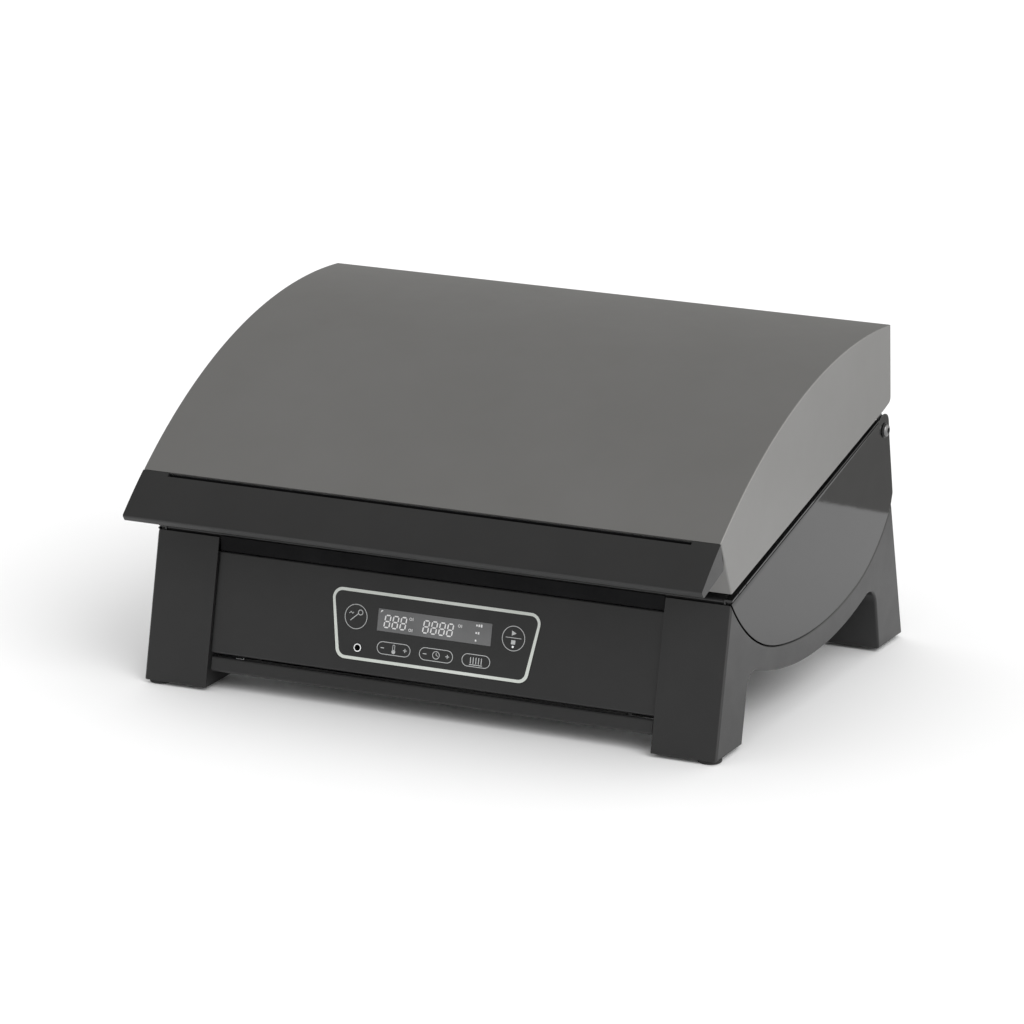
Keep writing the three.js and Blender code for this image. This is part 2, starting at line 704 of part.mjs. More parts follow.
/** Handle: a hollow wedge that carries the hood's curve down to a blunt nose. */
function handleBar() {
  const end = HALF - 2 - FIT;
  const outline = handleOutline(0);
  const bar = prism(outline, -end, end);
  const core = prism(handleOutline(2.2), -end - 1, end + 1);
  const top = { y: HOOD_JUNCTION_Y - 0.5, z: hoodTop(HOOD_JUNCTION_Y - 0.5) };
  const along = new THREE.Vector2(HANDLE_TIP_Y - top.y, hoodTop(HANDLE_TIP_Y) - top.z).normalize();
  const slot = [
    [top.y + 6, top.z + 8],
    [top.y - 4, top.z + 4],
    [top.y + along.x * SLOT_HEIGHT, top.z + along.y * SLOT_HEIGHT],
    [top.y + along.x * SLOT_HEIGHT + 12, top.z + along.y * SLOT_HEIGHT - 16],
  ];
  return cut(bar, core, prism(slot, -SLOT_HALF, SLOT_HALF));
}

/** Section of the handle, moved inwards by inset. */
function handleOutline(inset) {
  const from = HOOD_JUNCTION_Y - 0.6 - inset * 4.5;
  const outer = sweep((y) => hoodTop(y, inset), from, HANDLE_TIP_Y + inset * 1.6, 5);
  return rounded([
    ...outer.slice(0, -1),
    [...outer[outer.length - 1], 2.5],
    [HANDLE_NOSE.y + inset * 0.8, HANDLE_NOSE.z + inset * 1.3, 2],
    [HANDLE_HEEL.y - inset, HANDLE_HEEL.z + inset * 0.8, 2],
  ], 3);
}

/** Cap that closes the right end of the handle. */
const handleCapRight = () => prism(handleOutline(0), HALF - 2, HALF);

const hood = new THREE.Group();
griddle.add(hood);
add('hood_skin', hoodSkin(), 'hoodSteel', hood);
addPair('hood_side', prism(hoodOutline(0), HALF - SHEET, HALF), 'hoodSteel', hood);
add('handle_bar', handleBar(), 'handleBlack', hood);
addPair('handle_cap', handleCapRight(), 'handleBlack', hood);
addPair('hinge_arm', hingeArmRight(), 'linerSteel', hood);
addPair('hinge_screw', hingeScrewRight(), 'bright');
addPair('hinge_washer', hingeWasherRight(), 'bright');
addPair('hinge_nut', hingeNutRight(), 'bright');

// ---------------------------------------------------------------- control fascia

// Everything in this group lies on the leaning front plane: X across, Y up the plane,
// Z out towards the cook.
const frontPlane = new THREE.Group();
frontPlane.position.y = FRONT_Y + FASCIA_SETBACK;
frontPlane.rotation.x = Math.PI / 2 - LEAN_ANGLE;
griddle.add(frontPlane);

const OVERLAY = 0.6; // thickness of the touch panel's front film
const FASCIA_HALF = LEG_INNER - FRONT_GAP;

/** Touch panel outline: a round-cornered trapezoid, wider at the top. */
function panelOutline(grow) {
  const { bottom, top, bottomHalf, topHalf, corner } = PANEL;
  return rounded([
    [-bottomHalf - grow, bottom - grow, corner],
    [bottomHalf + grow, bottom - grow, corner],
    [topHalf + grow, top + grow, corner],
    [-topHalf - grow, top + grow, corner],
  ]);
}

/** Rectangle outline about a centre, with an optional corner radius. */
function rectangle(x, y, width, height, radius = 0) {
  const [w, h] = [width / 2, height / 2];
  return rounded([
    [x - w, y - h, radius],
    [x + w, y - h, radius],
    [x + w, y + h, radius],
    [x - w, y + h, radius],
  ]);
}

/** Front sheet between the legs, its edges folded back, recessed for the touch panel. */
function fascia() {
  const bottom = FASCIA_BOTTOM / SLOPE;
  const top = FASCIA_TOP / SLOPE;
  const flange = 12;
  const face = block([-FASCIA_HALF, bottom, -SHEET], [FASCIA_HALF, top, 0]);
  const upper = block([-FASCIA_HALF, top - SHEET, -flange], [FASCIA_HALF, top, -0.5]);
  const lower = block([-FASCIA_HALF, bottom, -7], [FASCIA_HALF, bottom + SHEET, -0.5]);
  return cut(
    join(face, upper, lower),
    slab(panelOutline(FIT), -OVERLAY, 1),
    slab(rectangle(0, LENS.centre, LENS.width + 5, LENS.height + 5), -SHEET - 1, 1),
    slab(circle(SOCKET.x, SOCKET.up, SOCKET.outer + FIT), -SHEET - 1, 1),
  );
}

/** Printed front film with the display window and the probe hole cut out. */
function touchOverlay() {
  return slab(panelOutline(0), -OVERLAY + FIT / 2, FIT / 2, [
    rectangle(0, LENS.centre, LENS.width + 2 * FIT, LENS.height + 2 * FIT),
    circle(SOCKET.x, SOCKET.up, SOCKET.outer + FIT),
  ]);
}

/** Clear window over the display, flush with the film. */
const displayLens = () =>
  slab(rectangle(0, LENS.centre, LENS.width, LENS.height), -OVERLAY - 0.6, FIT / 2);

/** Display module behind the lens. */
const displayModule = () =>
  slab(rectangle(0, LENS.centre, LENS.width + 3.6, LENS.height + 3.6), -7, -OVERLAY - 0.9);

/** Circuit board of the display and the touch keys. */
const displayBoard = () => slab(rectangle(0, 89, 214, 60, 2), -9, -7.4, [
  circle(SOCKET.x, SOCKET.up, SOCKET.outer + 1),
]);

/** Probe jack: a blind sleeve with a thin flange in front. */
function probeSocket() {
  const { outer, bore, depth } = SOCKET;
  return turned([
    [0, -depth],
    [outer, -depth],
    [outer, 0.5],
    [outer - 0.4, 0.9],
    [bore, 0.9],
    [bore, -depth + 2],
    [0, -depth + 2],
  ]).translate(SOCKET.x, SOCKET.up, 0);
}

add('fascia', fascia(), 'standSteel', frontPlane);
add('touch_overlay', touchOverlay(), 'overlay', frontPlane);
add('display_lens', displayLens(), 'lens', frontPlane);
add('display_module', displayModule(), 'component', frontPlane);
add('display_board', displayBoard(), 'board', frontPlane);
add('probe_socket', probeSocket(), 'bright', frontPlane);

// ---------------------------------------------------------------- control box

const BOX_BACK_Y = -128;
const BOX_FLOOR = 43;

/** Rear cover of the control box: a folded sheet with two end walls and cooling slots. */
function controlBoxCover() {
  const half = FASCIA_HALF - 9;
  const thick = 1;
  const path = [
    [-204, BOX_FLOOR],
    [BOX_BACK_Y, BOX_FLOOR],
    [BOX_BACK_Y, 84],
    [-186, 128],
  ];
  const sheet = prism(strip(path, thick), -half, half);
  const ends = [-half, half - thick].map((x) => prism(path, x, x + thick));
  const slot = { count: 12, first: -110, pitch: 20, half: 5, bottom: 54, top: 74 };
  const slots = Array.from({ length: slot.count }, (_, i) => {
    const x = slot.first + i * slot.pitch;
    return block(
      [x - slot.half, BOX_BACK_Y - 5, slot.bottom],
      [x + slot.half, BOX_BACK_Y + 5, slot.top],
    );
  });
  return cut(join(sheet, ...ends), ...slots);
}

/** Power board and what stands on it, seated above the control box floor. */
function powerBoard() {
  const top = BOX_FLOOR + 1 + FIT + 4;
  const board = slab(rectangle(60, -160, 130, 44), top - 1.6, top);
  add('power_board', board, 'board');
  const on = top + FIT;
  add('power_relay', block([20, -172, on], [42, -152, on + 16]), 'component');
  add('transformer', block([56, -176, on], [86, -150, on + 22]), 'component');
  const capacitor = turned([[0, 0], [6, 0], [6, 18], [5.4, 18.6], [0, 18.6]], 16);
  add('capacitor', capacitor.translate(104, -160, on), 'component');
  add('terminal_block', block([4, -178, on], [14, -144, on + 10]), 'plastic');
}

add('control_box_cover', controlBoxCover(), 'linerSteel');
powerBoard();

// ---------------------------------------------------------------- grease tray

/** Shallow folded tray that slides out between the front legs. */
function greaseTray() {
  const { half, rear, bottom, top, wall } = TRAY;
  const front = leaning(FRONT_Y + FASCIA_SETBACK, FRONT_LEAN, top) + 5.4;
  const outer = block([-half, front, bottom], [half, rear, top]);
  const inner = block([-half + wall, front + wall, bottom + wall], [half - wall, rear - wall, top + 1]);
  const lip = (side) => {
    const from = side > 0 ? half - wall : -half - 7;
    return block([from, front, top - wall], [from + 7 + wall, rear, top]);
  };
  return join(cut(outer, inner), lip(1), lip(-1));
}

/** Full-width front of the tray: a folded rail with a rounded lower edge. */
function trayFront() {
  const bottom = TRAY_FRONT_BOTTOM / SLOPE;
  const top = TRAY_FRONT_TOP / SLOPE;
  const section = rounded([
    [0, bottom, 1.5], [0, top, 1.5], [-5, top], [-5, top - SHEET], [-SHEET, top - SHEET],
    [-SHEET, bottom + SHEET], [-5, bottom + SHEET], [-5, bottom],
  ], 3);
  const turn = new THREE.Matrix4().set(0, 0, 1, 0, 0, 1, 0, 0, 1, 0, 0, 0, 0, 0, 0, 1);
  const rail = slab(section, -FASCIA_HALF + 1.4, FASCIA_HALF - 1.4).applyMatrix4(turn);
  return asGeometry(asSolid(flipped(rail)));
}

/** Reverses a geometry's faces, after a transform that mirrors it. */
function flipped(geometry) {
  const index = [];
  const count = geometry.attributes.position.count;
  for (let i = 0; i < count; i += 3) index.push(i, i + 2, i + 1);
  geometry.setIndex(index);
  return geometry;
}

/** Runner on the inside of the right stand, under the tray's lip. */
function trayRunnerRight() {
  const lip = TRAY.top - TRAY.wall - FIT;
  const outer = LEG_INNER - FIT;
  const section = [
    [TRAY.half + 3, lip - SHEET], [TRAY.half + 3, lip], [outer - SHEET, lip],
    [outer - SHEET, lip + 6], [outer, lip + 6], [outer, lip - SHEET],
  ];
  const rear = leaning(REAR_LEG_FRONT_Y, REAR_LEG_FRONT_LEAN, lip);
  const angle = slab(section, -rear - 30, 200).rotateX(Math.PI / 2);
  return angle;
}

add('grease_tray', greaseTray(), 'linerSteel');
add('tray_front', trayFront(), 'standSteel', frontPlane);
addPair('tray_runner', trayRunnerRight(), 'linerSteel');

// ---------------------------------------------------------------- rear

const INLET = { x: -170, z: 115 };
const REAR_BAR_Y = REAR_Y - 3;
const REAR_BAR_BOTTOM = 92;
const REAR_BAR_TOP = 140;

/** Cross bar between the rear legs, leaning with them, with the inlet's cut-out. */
function rearBar() {
  const half = LEG_INNER - FIT;
  const rearAt = (z) => leaning(REAR_BAR_Y, REAR_LEAN, z);
  const path = [
    [rearAt(REAR_BAR_TOP) - 12, REAR_BAR_TOP],
    [rearAt(REAR_BAR_TOP), REAR_BAR_TOP],
    [rearAt(REAR_BAR_BOTTOM), REAR_BAR_BOTTOM],
    [rearAt(REAR_BAR_BOTTOM) - 14, REAR_BAR_BOTTOM],
  ];
  const bar = prism(strip(path.reverse(), SHEET), -half, half);
  const window = block([INLET.x - 17.5, 200, INLET.z - 13.5], [INLET.x + 17.5, 270, INLET.z + 13.5]);
  return cut(bar, window);
}

// Everything in this group lies on the cross bar's outer face: X towards the left stand,
// Y up the bar, Z out to the rear.
const REAR_ANGLE = Math.atan(-REAR_LEAN);
const rearPlane = new THREE.Group();
rearPlane.position.y = REAR_BAR_Y;
rearPlane.rotation.set(REAR_ANGLE - Math.PI / 2, 0, Math.PI);
griddle.add(rearPlane);

/** Appliance inlet: a flanged shell with a deep recess and three blades. */
function powerInlet() {
  const shell = slab(rectangle(0, 0, 34, 26, 3), -22, 1.4);
  const flange = slab(rectangle(0, 0, 46, 32, 3), FIT, 2.6);
  const recess = slab(
    rounded([
      [-12.5, -8.5, 2],
      [12.5, -8.5, 2],
      [12.5, 4.5, 2],
      [8.5, 8.5, 1],
      [-8.5, 8.5, 1],
      [-12.5, 4.5, 2],
    ]),
    -16,
    4,
  );
  const blades = [[-7, -2], [0, 3.2], [7, -2]].map(([x, y]) =>
    slab(rectangle(x, y, 2, 4.6), -17, -3),
  );
  return join(cut(join(shell, flange), recess), ...blades)
    .translate(-INLET.x, INLET.z / Math.cos(REAR_ANGLE), 0);
}

/** Cover over the element's terminals, hung on the outside of the firebox's curved back. */
function terminalCover() {
  const [bottom, top, back] = [112, 136, 222];
  const outline = (inset) => {
    const grow = -SEAM - 1 + 0.5;
    const reach = (z) => SEAM_REAR.y + Math.sqrt((SEAM_REAR.r + grow) ** 2 - (z - SEAM_REAR.z) ** 2);
    const low = bottom + inset;
    const high = top - inset;
    const against = arcByAngle(SEAM_REAR, grow, reach(low), reach(high), 6);
    const shift = inset ? -6 : 0; // the hollow runs out through the open front
    const front = against.map(([y, z]) => [y + shift, z]).reverse();
    return [...front, [back - inset, low], [back - inset, high]];
  };
  return cut(prism(outline(0), -58, 58), prism(outline(LINER), -58 + LINER, 58 - LINER));
}

add('rear_bar', rearBar(), 'standSteel');
add('power_inlet', powerInlet(), 'plastic', rearPlane);
add('terminal_cover', terminalCover(), 'bright');

export default griddle;
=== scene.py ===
"""Electric griddle: the looks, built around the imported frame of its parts.

Sizes are in millimetres while a piece is drawn and become metres when its mesh is made.
"""

import sys
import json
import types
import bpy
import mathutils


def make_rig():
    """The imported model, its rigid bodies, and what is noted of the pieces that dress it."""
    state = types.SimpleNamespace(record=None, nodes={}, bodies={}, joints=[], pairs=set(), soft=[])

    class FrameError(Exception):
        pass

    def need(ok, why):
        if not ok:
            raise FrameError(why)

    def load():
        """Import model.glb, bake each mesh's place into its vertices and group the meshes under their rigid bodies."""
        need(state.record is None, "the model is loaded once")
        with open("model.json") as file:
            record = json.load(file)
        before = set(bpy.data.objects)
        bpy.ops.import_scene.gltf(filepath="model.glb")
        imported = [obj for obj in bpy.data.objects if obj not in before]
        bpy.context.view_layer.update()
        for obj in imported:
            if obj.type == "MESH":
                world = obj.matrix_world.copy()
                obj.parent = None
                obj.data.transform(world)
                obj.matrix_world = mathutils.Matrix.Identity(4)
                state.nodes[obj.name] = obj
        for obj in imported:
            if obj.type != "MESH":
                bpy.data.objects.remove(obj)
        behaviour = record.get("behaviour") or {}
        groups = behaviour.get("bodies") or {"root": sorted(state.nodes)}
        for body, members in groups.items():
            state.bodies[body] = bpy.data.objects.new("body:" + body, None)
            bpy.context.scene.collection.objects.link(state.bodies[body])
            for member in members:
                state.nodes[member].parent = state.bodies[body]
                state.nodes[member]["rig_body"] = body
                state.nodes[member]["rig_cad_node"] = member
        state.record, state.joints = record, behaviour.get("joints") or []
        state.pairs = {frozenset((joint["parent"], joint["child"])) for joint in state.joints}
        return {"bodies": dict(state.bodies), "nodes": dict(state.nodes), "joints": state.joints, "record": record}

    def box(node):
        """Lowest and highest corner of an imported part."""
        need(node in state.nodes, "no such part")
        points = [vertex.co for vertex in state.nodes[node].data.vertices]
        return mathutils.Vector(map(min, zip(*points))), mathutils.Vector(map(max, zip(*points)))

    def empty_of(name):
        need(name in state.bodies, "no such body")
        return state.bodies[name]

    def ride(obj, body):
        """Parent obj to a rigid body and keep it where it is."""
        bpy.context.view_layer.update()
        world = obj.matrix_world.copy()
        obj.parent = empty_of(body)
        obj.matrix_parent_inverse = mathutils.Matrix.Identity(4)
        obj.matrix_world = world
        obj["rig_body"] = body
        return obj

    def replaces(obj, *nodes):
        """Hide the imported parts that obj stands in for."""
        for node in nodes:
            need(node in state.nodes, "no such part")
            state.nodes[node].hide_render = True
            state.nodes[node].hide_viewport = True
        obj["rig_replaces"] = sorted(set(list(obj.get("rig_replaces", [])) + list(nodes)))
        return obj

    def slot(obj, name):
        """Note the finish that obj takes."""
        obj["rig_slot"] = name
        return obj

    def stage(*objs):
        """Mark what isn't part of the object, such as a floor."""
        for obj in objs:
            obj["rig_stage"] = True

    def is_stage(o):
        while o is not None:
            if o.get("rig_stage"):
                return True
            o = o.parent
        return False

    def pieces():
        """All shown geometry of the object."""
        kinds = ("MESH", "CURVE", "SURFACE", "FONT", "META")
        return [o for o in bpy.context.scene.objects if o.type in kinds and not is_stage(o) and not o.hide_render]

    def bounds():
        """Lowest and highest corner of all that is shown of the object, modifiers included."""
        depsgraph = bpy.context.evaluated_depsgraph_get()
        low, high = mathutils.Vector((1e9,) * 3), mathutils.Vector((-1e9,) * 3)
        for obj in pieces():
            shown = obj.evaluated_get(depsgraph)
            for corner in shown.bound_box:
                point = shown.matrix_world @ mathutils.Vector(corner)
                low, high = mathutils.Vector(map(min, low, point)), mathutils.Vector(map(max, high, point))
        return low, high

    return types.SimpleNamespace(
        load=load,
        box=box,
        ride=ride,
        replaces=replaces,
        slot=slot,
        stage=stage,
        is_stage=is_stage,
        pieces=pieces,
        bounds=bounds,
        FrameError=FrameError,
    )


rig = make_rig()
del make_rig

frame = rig.load()
CAD_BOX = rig.bounds()

import json
import logging
import math
from dataclasses import dataclass, field
from enum import Enum
from typing import Callable, Optional, Sequence

import bmesh
import bpy
from bmesh.types import BMesh
from mathutils import Matrix, Vector

MM = 0.001
SIZE_FILE = "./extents.json"
CREASE = 32.0
NOISE_MIDDLE = (0.32, 0.68)
COAT_ROUGHNESS = 0.04
SIDES = ((1, "right"), (-1, "left"))

Outline = list[tuple[float, float]]
Where = Optional[Callable[[Vector], bool]]

log = logging.getLogger("griddle")


# ---------------------------------------------------------------- planes and outlines


def plane(origin: Sequence[float], across: Sequence[float], up: Sequence[float]) -> Matrix:
    """Makes the placing of a drawing plane.

    Args:
        origin: Where the plane's own zero lies, in millimetres.
        across: Direction of the drawing's first axis.
        up: Direction of its second axis; the third points out of the plane.

    Returns:
        The 4 x 4 matrix from the drawing to the object's frame.
    """
    first, second = Vector(across).normalized(), Vector(up).normalized()
    placing = Matrix((first, second, first.cross(second))).transposed().to_4x4()
    placing.translation = Vector(origin)
    return placing


def box(node: str) -> tuple[Vector, Vector]:
    """Returns a frame node's lowest and highest corners in millimetres."""
    low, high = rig.box(node)
    return Vector(low) / MM, Vector(high) / MM


FLAT = Matrix.Identity(4)
SIDE = plane((0, 0, 0), (0, 1, 0), (0, 0, 1))
FRONT = plane((0, 0, 0), (1, 0, 0), (0, 0, 1))


def upright(x: float, y: float) -> Matrix:
    """Returns the level plane at height zero whose own zero is at (x, y)."""
    return plane((x, y, 0), (1, 0, 0), (0, 1, 0))


def over(node: str) -> Matrix:
    """Returns the level plane at height zero, centred on a frame node."""
    low, high = box(node)
    return upright((low.x + high.x) / 2, (low.y + high.y) / 2)


def facing(place: Matrix, origin: Sequence[float] = (0, 0, 0)) -> Matrix:
    """Returns a plane with the directions of another and an origin of its own."""
    return plane(origin, place.col[0][:3], place.col[1][:3])


def fillet(corners: Sequence[Sequence[float]], steps: int = 8, closed: bool = True) -> Outline:
    """Draws a polygon or path whose corners may each be rounded.

    Args:
        corners: Points as (a, b) or (a, b, radius).
        steps: Flats along each rounded corner.
        closed: Whether the last corner joins the first.

    Returns:
        The points of the outline.
    """
    points: Outline = []
    count = len(corners)
    for i, corner in enumerate(corners):
        here = Vector(corner[:2])
        radius = corner[2] if len(corner) > 2 else 0.0
        if not radius or (not closed and i in (0, count - 1)):
            points.append((here.x, here.y))
            continue
        back = (Vector(corners[i - 1][:2]) - here).normalized()
        ahead = (Vector(corners[(i + 1) % count][:2]) - here).normalized()
        half = math.acos(max(-1.0, min(1.0, back.dot(ahead)))) / 2
        centre = here + (back + ahead).normalized() * (radius / math.sin(half))
        start = here + back * (radius / math.tan(half)) - centre
        end = here + ahead * (radius / math.tan(half)) - centre
        first = math.atan2(start.y, start.x)
        turn = (math.atan2(end.y, end.x) - first + math.pi) % (2 * math.pi) - math.pi
        for k in range(steps + 1):
            angle = first + turn * k / steps
            points.append((centre.x + radius * math.cos(angle), centre.y + radius * math.sin(angle)))
    return points


def fold(path: Outline, thickness: float) -> Outline:
    """Gives a folded sheet's section: the path, and the same path moved to its left.

    Args:
        path: Points along one face of the sheet.
        thickness: Thickness of the metal.

    Returns:
        The closed outline of the section.
    """
    points = [Vector(p) for p in path]
    last = len(points) - 1
    other = []
    for i, point in enumerate(points):
        inward = (point - points[i - 1] if i else points[1] - point).normalized()
        outward = (points[i + 1] - point if i < last else point - points[i - 1]).normalized()
        normal = Vector((-inward.y - outward.y, inward.x + outward.x)).normalized()
        reach = thickness / max(normal.dot(Vector((-inward.y, inward.x))), 0.35)
        moved = point + normal * reach
        other.append((moved.x, moved.y))
    return list(path) + other[::-1]


def circle(a: float, b: float, radius: float, sides: int = 48) -> Outline:
    """Returns a circle's outline about (a, b)."""
    angles = [2 * math.pi * i / sides for i in range(sides)]
    return [(a + radius * math.cos(t), b + radius * math.sin(t)) for t in angles]


def rectangle(a: float, b: float, width: float, height: float, corner: float = 0.0) -> Outline:
    """Returns a rectangle's outline about (a, b), with round corners if asked."""
    w, h = width / 2, height / 2
    return fillet([(a - w, b - h, corner), (a + w, b - h, corner),
                   (a + w, b + h, corner), (a - w, b + h, corner)])


# ---------------------------------------------------------------- solids


def prism(outline: Outline, low: float, high: float, place: Matrix = SIDE) -> BMesh:
    """Gives a flat outline thickness.

    Args:
        outline: Closed outline in the drawing plane.
        low: Where the solid starts, out of the plane.
        high: Where it ends.
        place: The drawing plane.

    Returns:
        A closed solid.
    """
    bm = bmesh.new()
    rings = [[bm.verts.new(place @ Vector((a, b, c))) for a, b in outline] for c in (low, high)]
    bm.faces.new(rings[0][::-1])
    bm.faces.new(rings[1])
    for i in range(len(outline)):
        j = (i + 1) % len(outline)
        bm.faces.new((rings[0][i], rings[0][j], rings[1][j], rings[1][i]))
    bmesh.ops.recalc_face_normals(bm, faces=bm.faces)
    return bm


def block(low: Sequence[float], high: Sequence[float], place: Matrix = FLAT) -> BMesh:
    """Returns a box between two corners of a drawing plane."""
    outline = [(low[0], low[1]), (high[0], low[1]), (high[0], high[1]), (low[0], high[1])]
    return prism(outline, low[2], high[2], place)


def ring(outer: Outline, inner: Outline, low: float, high: float, place: Matrix) -> BMesh:
    """Makes a raised line between two outlines that have the same number of points.

    Args:
        outer: Outline of the line's outer edge.
        inner: Outline of its inner edge.
        low: Height of the underside.
        high: Height of the top.
        place: The drawing plane.

    Returns:
        A closed solid in the shape of a ring.
    """
    bm = bmesh.new()
    loops = [[bm.verts.new(place @ Vector((a, b, c))) for a, b in line]
             for line, c in ((outer, low), (outer, high), (inner, high), (inner, low))]
    for k in range(4):
        for i in range(len(outer)):
            j = (i + 1) % len(outer)
            near, far = loops[k], loops[(k + 1) % 4]
            bm.faces.new((near[i], near[j], far[j], far[i]))
    bmesh.ops.recalc_face_normals(bm, faces=bm.faces)
    return bm


def lathe(profile: Outline, place: Matrix = FLAT, sides: int = 48) -> BMesh:
    """Turns a profile of (radius, height) about the third axis of a plane.

    Args:
        profile: Points from one end on the axis round to the other, or a closed loop.
        place: The plane whose third axis is the turning axis.
        sides: Flats round the piece.

    Returns:
        A closed solid.
    """
    bm = bmesh.new()
    looped = profile[0] == profile[-1]
    points = profile[:-1] if looped else profile
    columns = []
    for i in range(sides):
        angle = 2 * math.pi * i / sides
        columns.append([bm.verts.new(place @ Vector((r * math.cos(angle), r * math.sin(angle), z)))
                        for r, z in points])
    for i in range(sides):
        near, far = columns[i], columns[(i + 1) % sides]
        for k in range(len(points) if looped else len(points) - 1):
            up = (k + 1) % len(points)
            bm.faces.new((near[k], far[k], far[up], near[up]))
    bmesh.ops.remove_doubles(bm, verts=bm.verts, dist=1e-5)
    bmesh.ops.recalc_face_normals(bm, faces=bm.faces)
    return bm


def gather(*parts: BMesh) -> BMesh:
    """Puts several solids into one mesh, each still closed."""
    whole = parts[0]
    for part in parts[1:]:
        mesh = bpy.data.meshes.new("part")
        part.to_mesh(mesh)
        part.free()
        whole.from_mesh(mesh)
        bpy.data.meshes.remove(mesh)
    return whole


def mirrored(bm: BMesh) -> BMesh:
    """Returns a left-hand copy of a right-hand solid, its faces still outwards."""
    copy = bm.copy()
    bmesh.ops.scale(copy, vec=(-1, 1, 1), verts=copy.verts)
    bmesh.ops.reverse_faces(copy, faces=copy.faces)
    return copy


def sided(side: int, *parts: BMesh) -> list[BMesh]:
    """Returns right-hand solids as they are, or their left-hand copies if side is negative."""
    return [mirrored(part) for part in parts] if side < 0 else list(parts)


def soften(bm: BMesh, width: float, segments: int = 3, sharper: float = 30.0, where: Where = None) -> BMesh:
    """Rounds the edges of a solid that are sharper than an angle.

    Args:
        bm: The solid.
        width: Radius of the rounding.
        segments: Flats along it.
        sharper: Smallest angle between two faces that counts as an edge, in degrees.
        where: Takes an edge's middle and says whether it is rounded.

    Returns:
        The same solid.
    """
    limit = math.radians(sharper)
    chosen = []
    for edge in bm.edges:
        if len(edge.link_faces) == 2 and edge.calc_face_angle(0.0) > limit:
            middle = (edge.verts[0].co + edge.verts[1].co) / 2
            if where is None or where(middle):
                chosen.append(edge)
    bmesh.ops.bevel(bm, geom=chosen, offset=width, offset_type="OFFSET", segments=segments,
                    profile=0.5, affect="EDGES", clamp_overlap=True)
    return bm


def shade(mesh: bpy.types.Mesh, angle: float) -> None:
    """Shades a mesh smooth, with a crease where its faces meet above an angle in degrees."""
    mesh.polygons.foreach_set("use_smooth", [True] * len(mesh.polygons))
    mesh.set_sharp_from_angle(angle=math.radians(angle))


def make(name: str, bm: BMesh, crease: float = CREASE) -> bpy.types.Object:
    """Turns a solid into an object of the scene, in metres.

    Args:
        name: Name of the piece.
        bm: Its solid in millimetres, used up by the call.
        crease: Angle in degrees above which an edge stays sharp.

    Returns:
        The object, at the origin.
    """
    bmesh.ops.scale(bm, vec=(MM, MM, MM), verts=bm.verts)
    mesh = bpy.data.meshes.new(name)
    bm.to_mesh(mesh)
    bm.free()
    obj = bpy.data.objects.new(name, mesh)
    bpy.context.scene.collection.objects.link(obj)
    shade(mesh, crease)
    return obj


def settle(obj: bpy.types.Object) -> bpy.types.Object:
    """Applies an object's modifiers, so that its mesh is plain, and returns it."""
    graph = bpy.context.evaluated_depsgraph_get()
    mesh = bpy.data.meshes.new_from_object(obj.evaluated_get(graph), depsgraph=graph)
    obj.modifiers.clear()
    obj.data = mesh
    return obj


def carve(obj: bpy.types.Object, *tools: BMesh, crease: float = CREASE) -> bpy.types.Object:
    """Cuts solids out of a piece.

    Args:
        obj: The piece.
        tools: The solids to take away, in millimetres.
        crease: Angle in degrees above which an edge stays sharp.

    Returns:
        The same piece.
    """
    cutters = [make(f"tool_{i}", tool) for i, tool in enumerate(tools)]
    for cutter in cutters:
        step = obj.modifiers.new("cut", "BOOLEAN")
        step.operation, step.solver, step.object = "DIFFERENCE", "EXACT", cutter
    settle(obj)
    for cutter in cutters:
        bpy.data.objects.remove(cutter)
    shade(obj.data, crease)
    return obj


def ease(obj: bpy.types.Object, width: float, segments: int = 2, sharper: float = 40.0,
         crease: float = CREASE) -> bpy.types.Object:
    """Rounds every sharp edge of a finished piece.

    Args:
        obj: The piece.
        width: Radius in millimetres.
        segments: Flats along the rounding.
        sharper: Smallest angle in degrees that counts as an edge.
        crease: Angle above which an edge stays sharp in shading.

    Returns:
        The same piece.
    """
    step = obj.modifiers.new("ease", "BEVEL")
    step.width, step.segments = width * MM, segments
    step.limit_method, step.angle_limit = "ANGLE", math.radians(sharper)
    settle(obj)
    shade(obj.data, crease)
    return obj


def thicken(obj: bpy.types.Object, thickness: float, edge: float = 0.3) -> bpy.types.Object:
    """Gives an open skin its metal on the inside, and breaks its cut edges."""
    step = obj.modifiers.new("metal", "SOLIDIFY")
    step.thickness, step.offset, step.use_even_offset = thickness * MM, -1.0, True
    settle(obj)
    return ease(obj, edge, 2, 60.0)


# ---------------------------------------------------------------- finishes


class Texture(Enum):
    """How a finish feels to the hand."""

    POWDER = "powder coat"
    ENAMEL = "sprayed enamel"
    BRUSHED = "brushed metal"
    CAST = "cast and coated"
    MOULDED = "moulded"
    SMOOTH = "smooth"


@dataclass(frozen=True)
class Finish:
    """One surface finish: its colours, its gloss and its grain.

    Attributes:
        slot: The record's material slot.
        colour: Main colour, linear.
        drift: The colour of its soft patches.
        rough: Lowest and highest roughness.
        texture: Kind of relief.
        grain: Size of the relief in millimetres.
        relief: Depth of the relief in millimetres.
        metallic: Share of bare metal.
        coat: Weight of a clear coat.
        patch: Size of the soft patches in millimetres.
        stretch: How each axis of the relief is stretched.
        strength: How strongly the relief shows.
        specular: Strength of the mirror-like reflection.
    """

    slot: str
    colour: tuple[float, float, float]
    drift: tuple[float, float, float]
    rough: tuple[float, float]
    texture: Texture
    grain: float
    relief: float
    metallic: float = 0.0
    coat: float = 0.0
    patch: float = 60.0
    stretch: tuple[float, float, float] = (1.0, 1.0, 1.0)
    strength: float = 1.0
    specular: float = 0.5


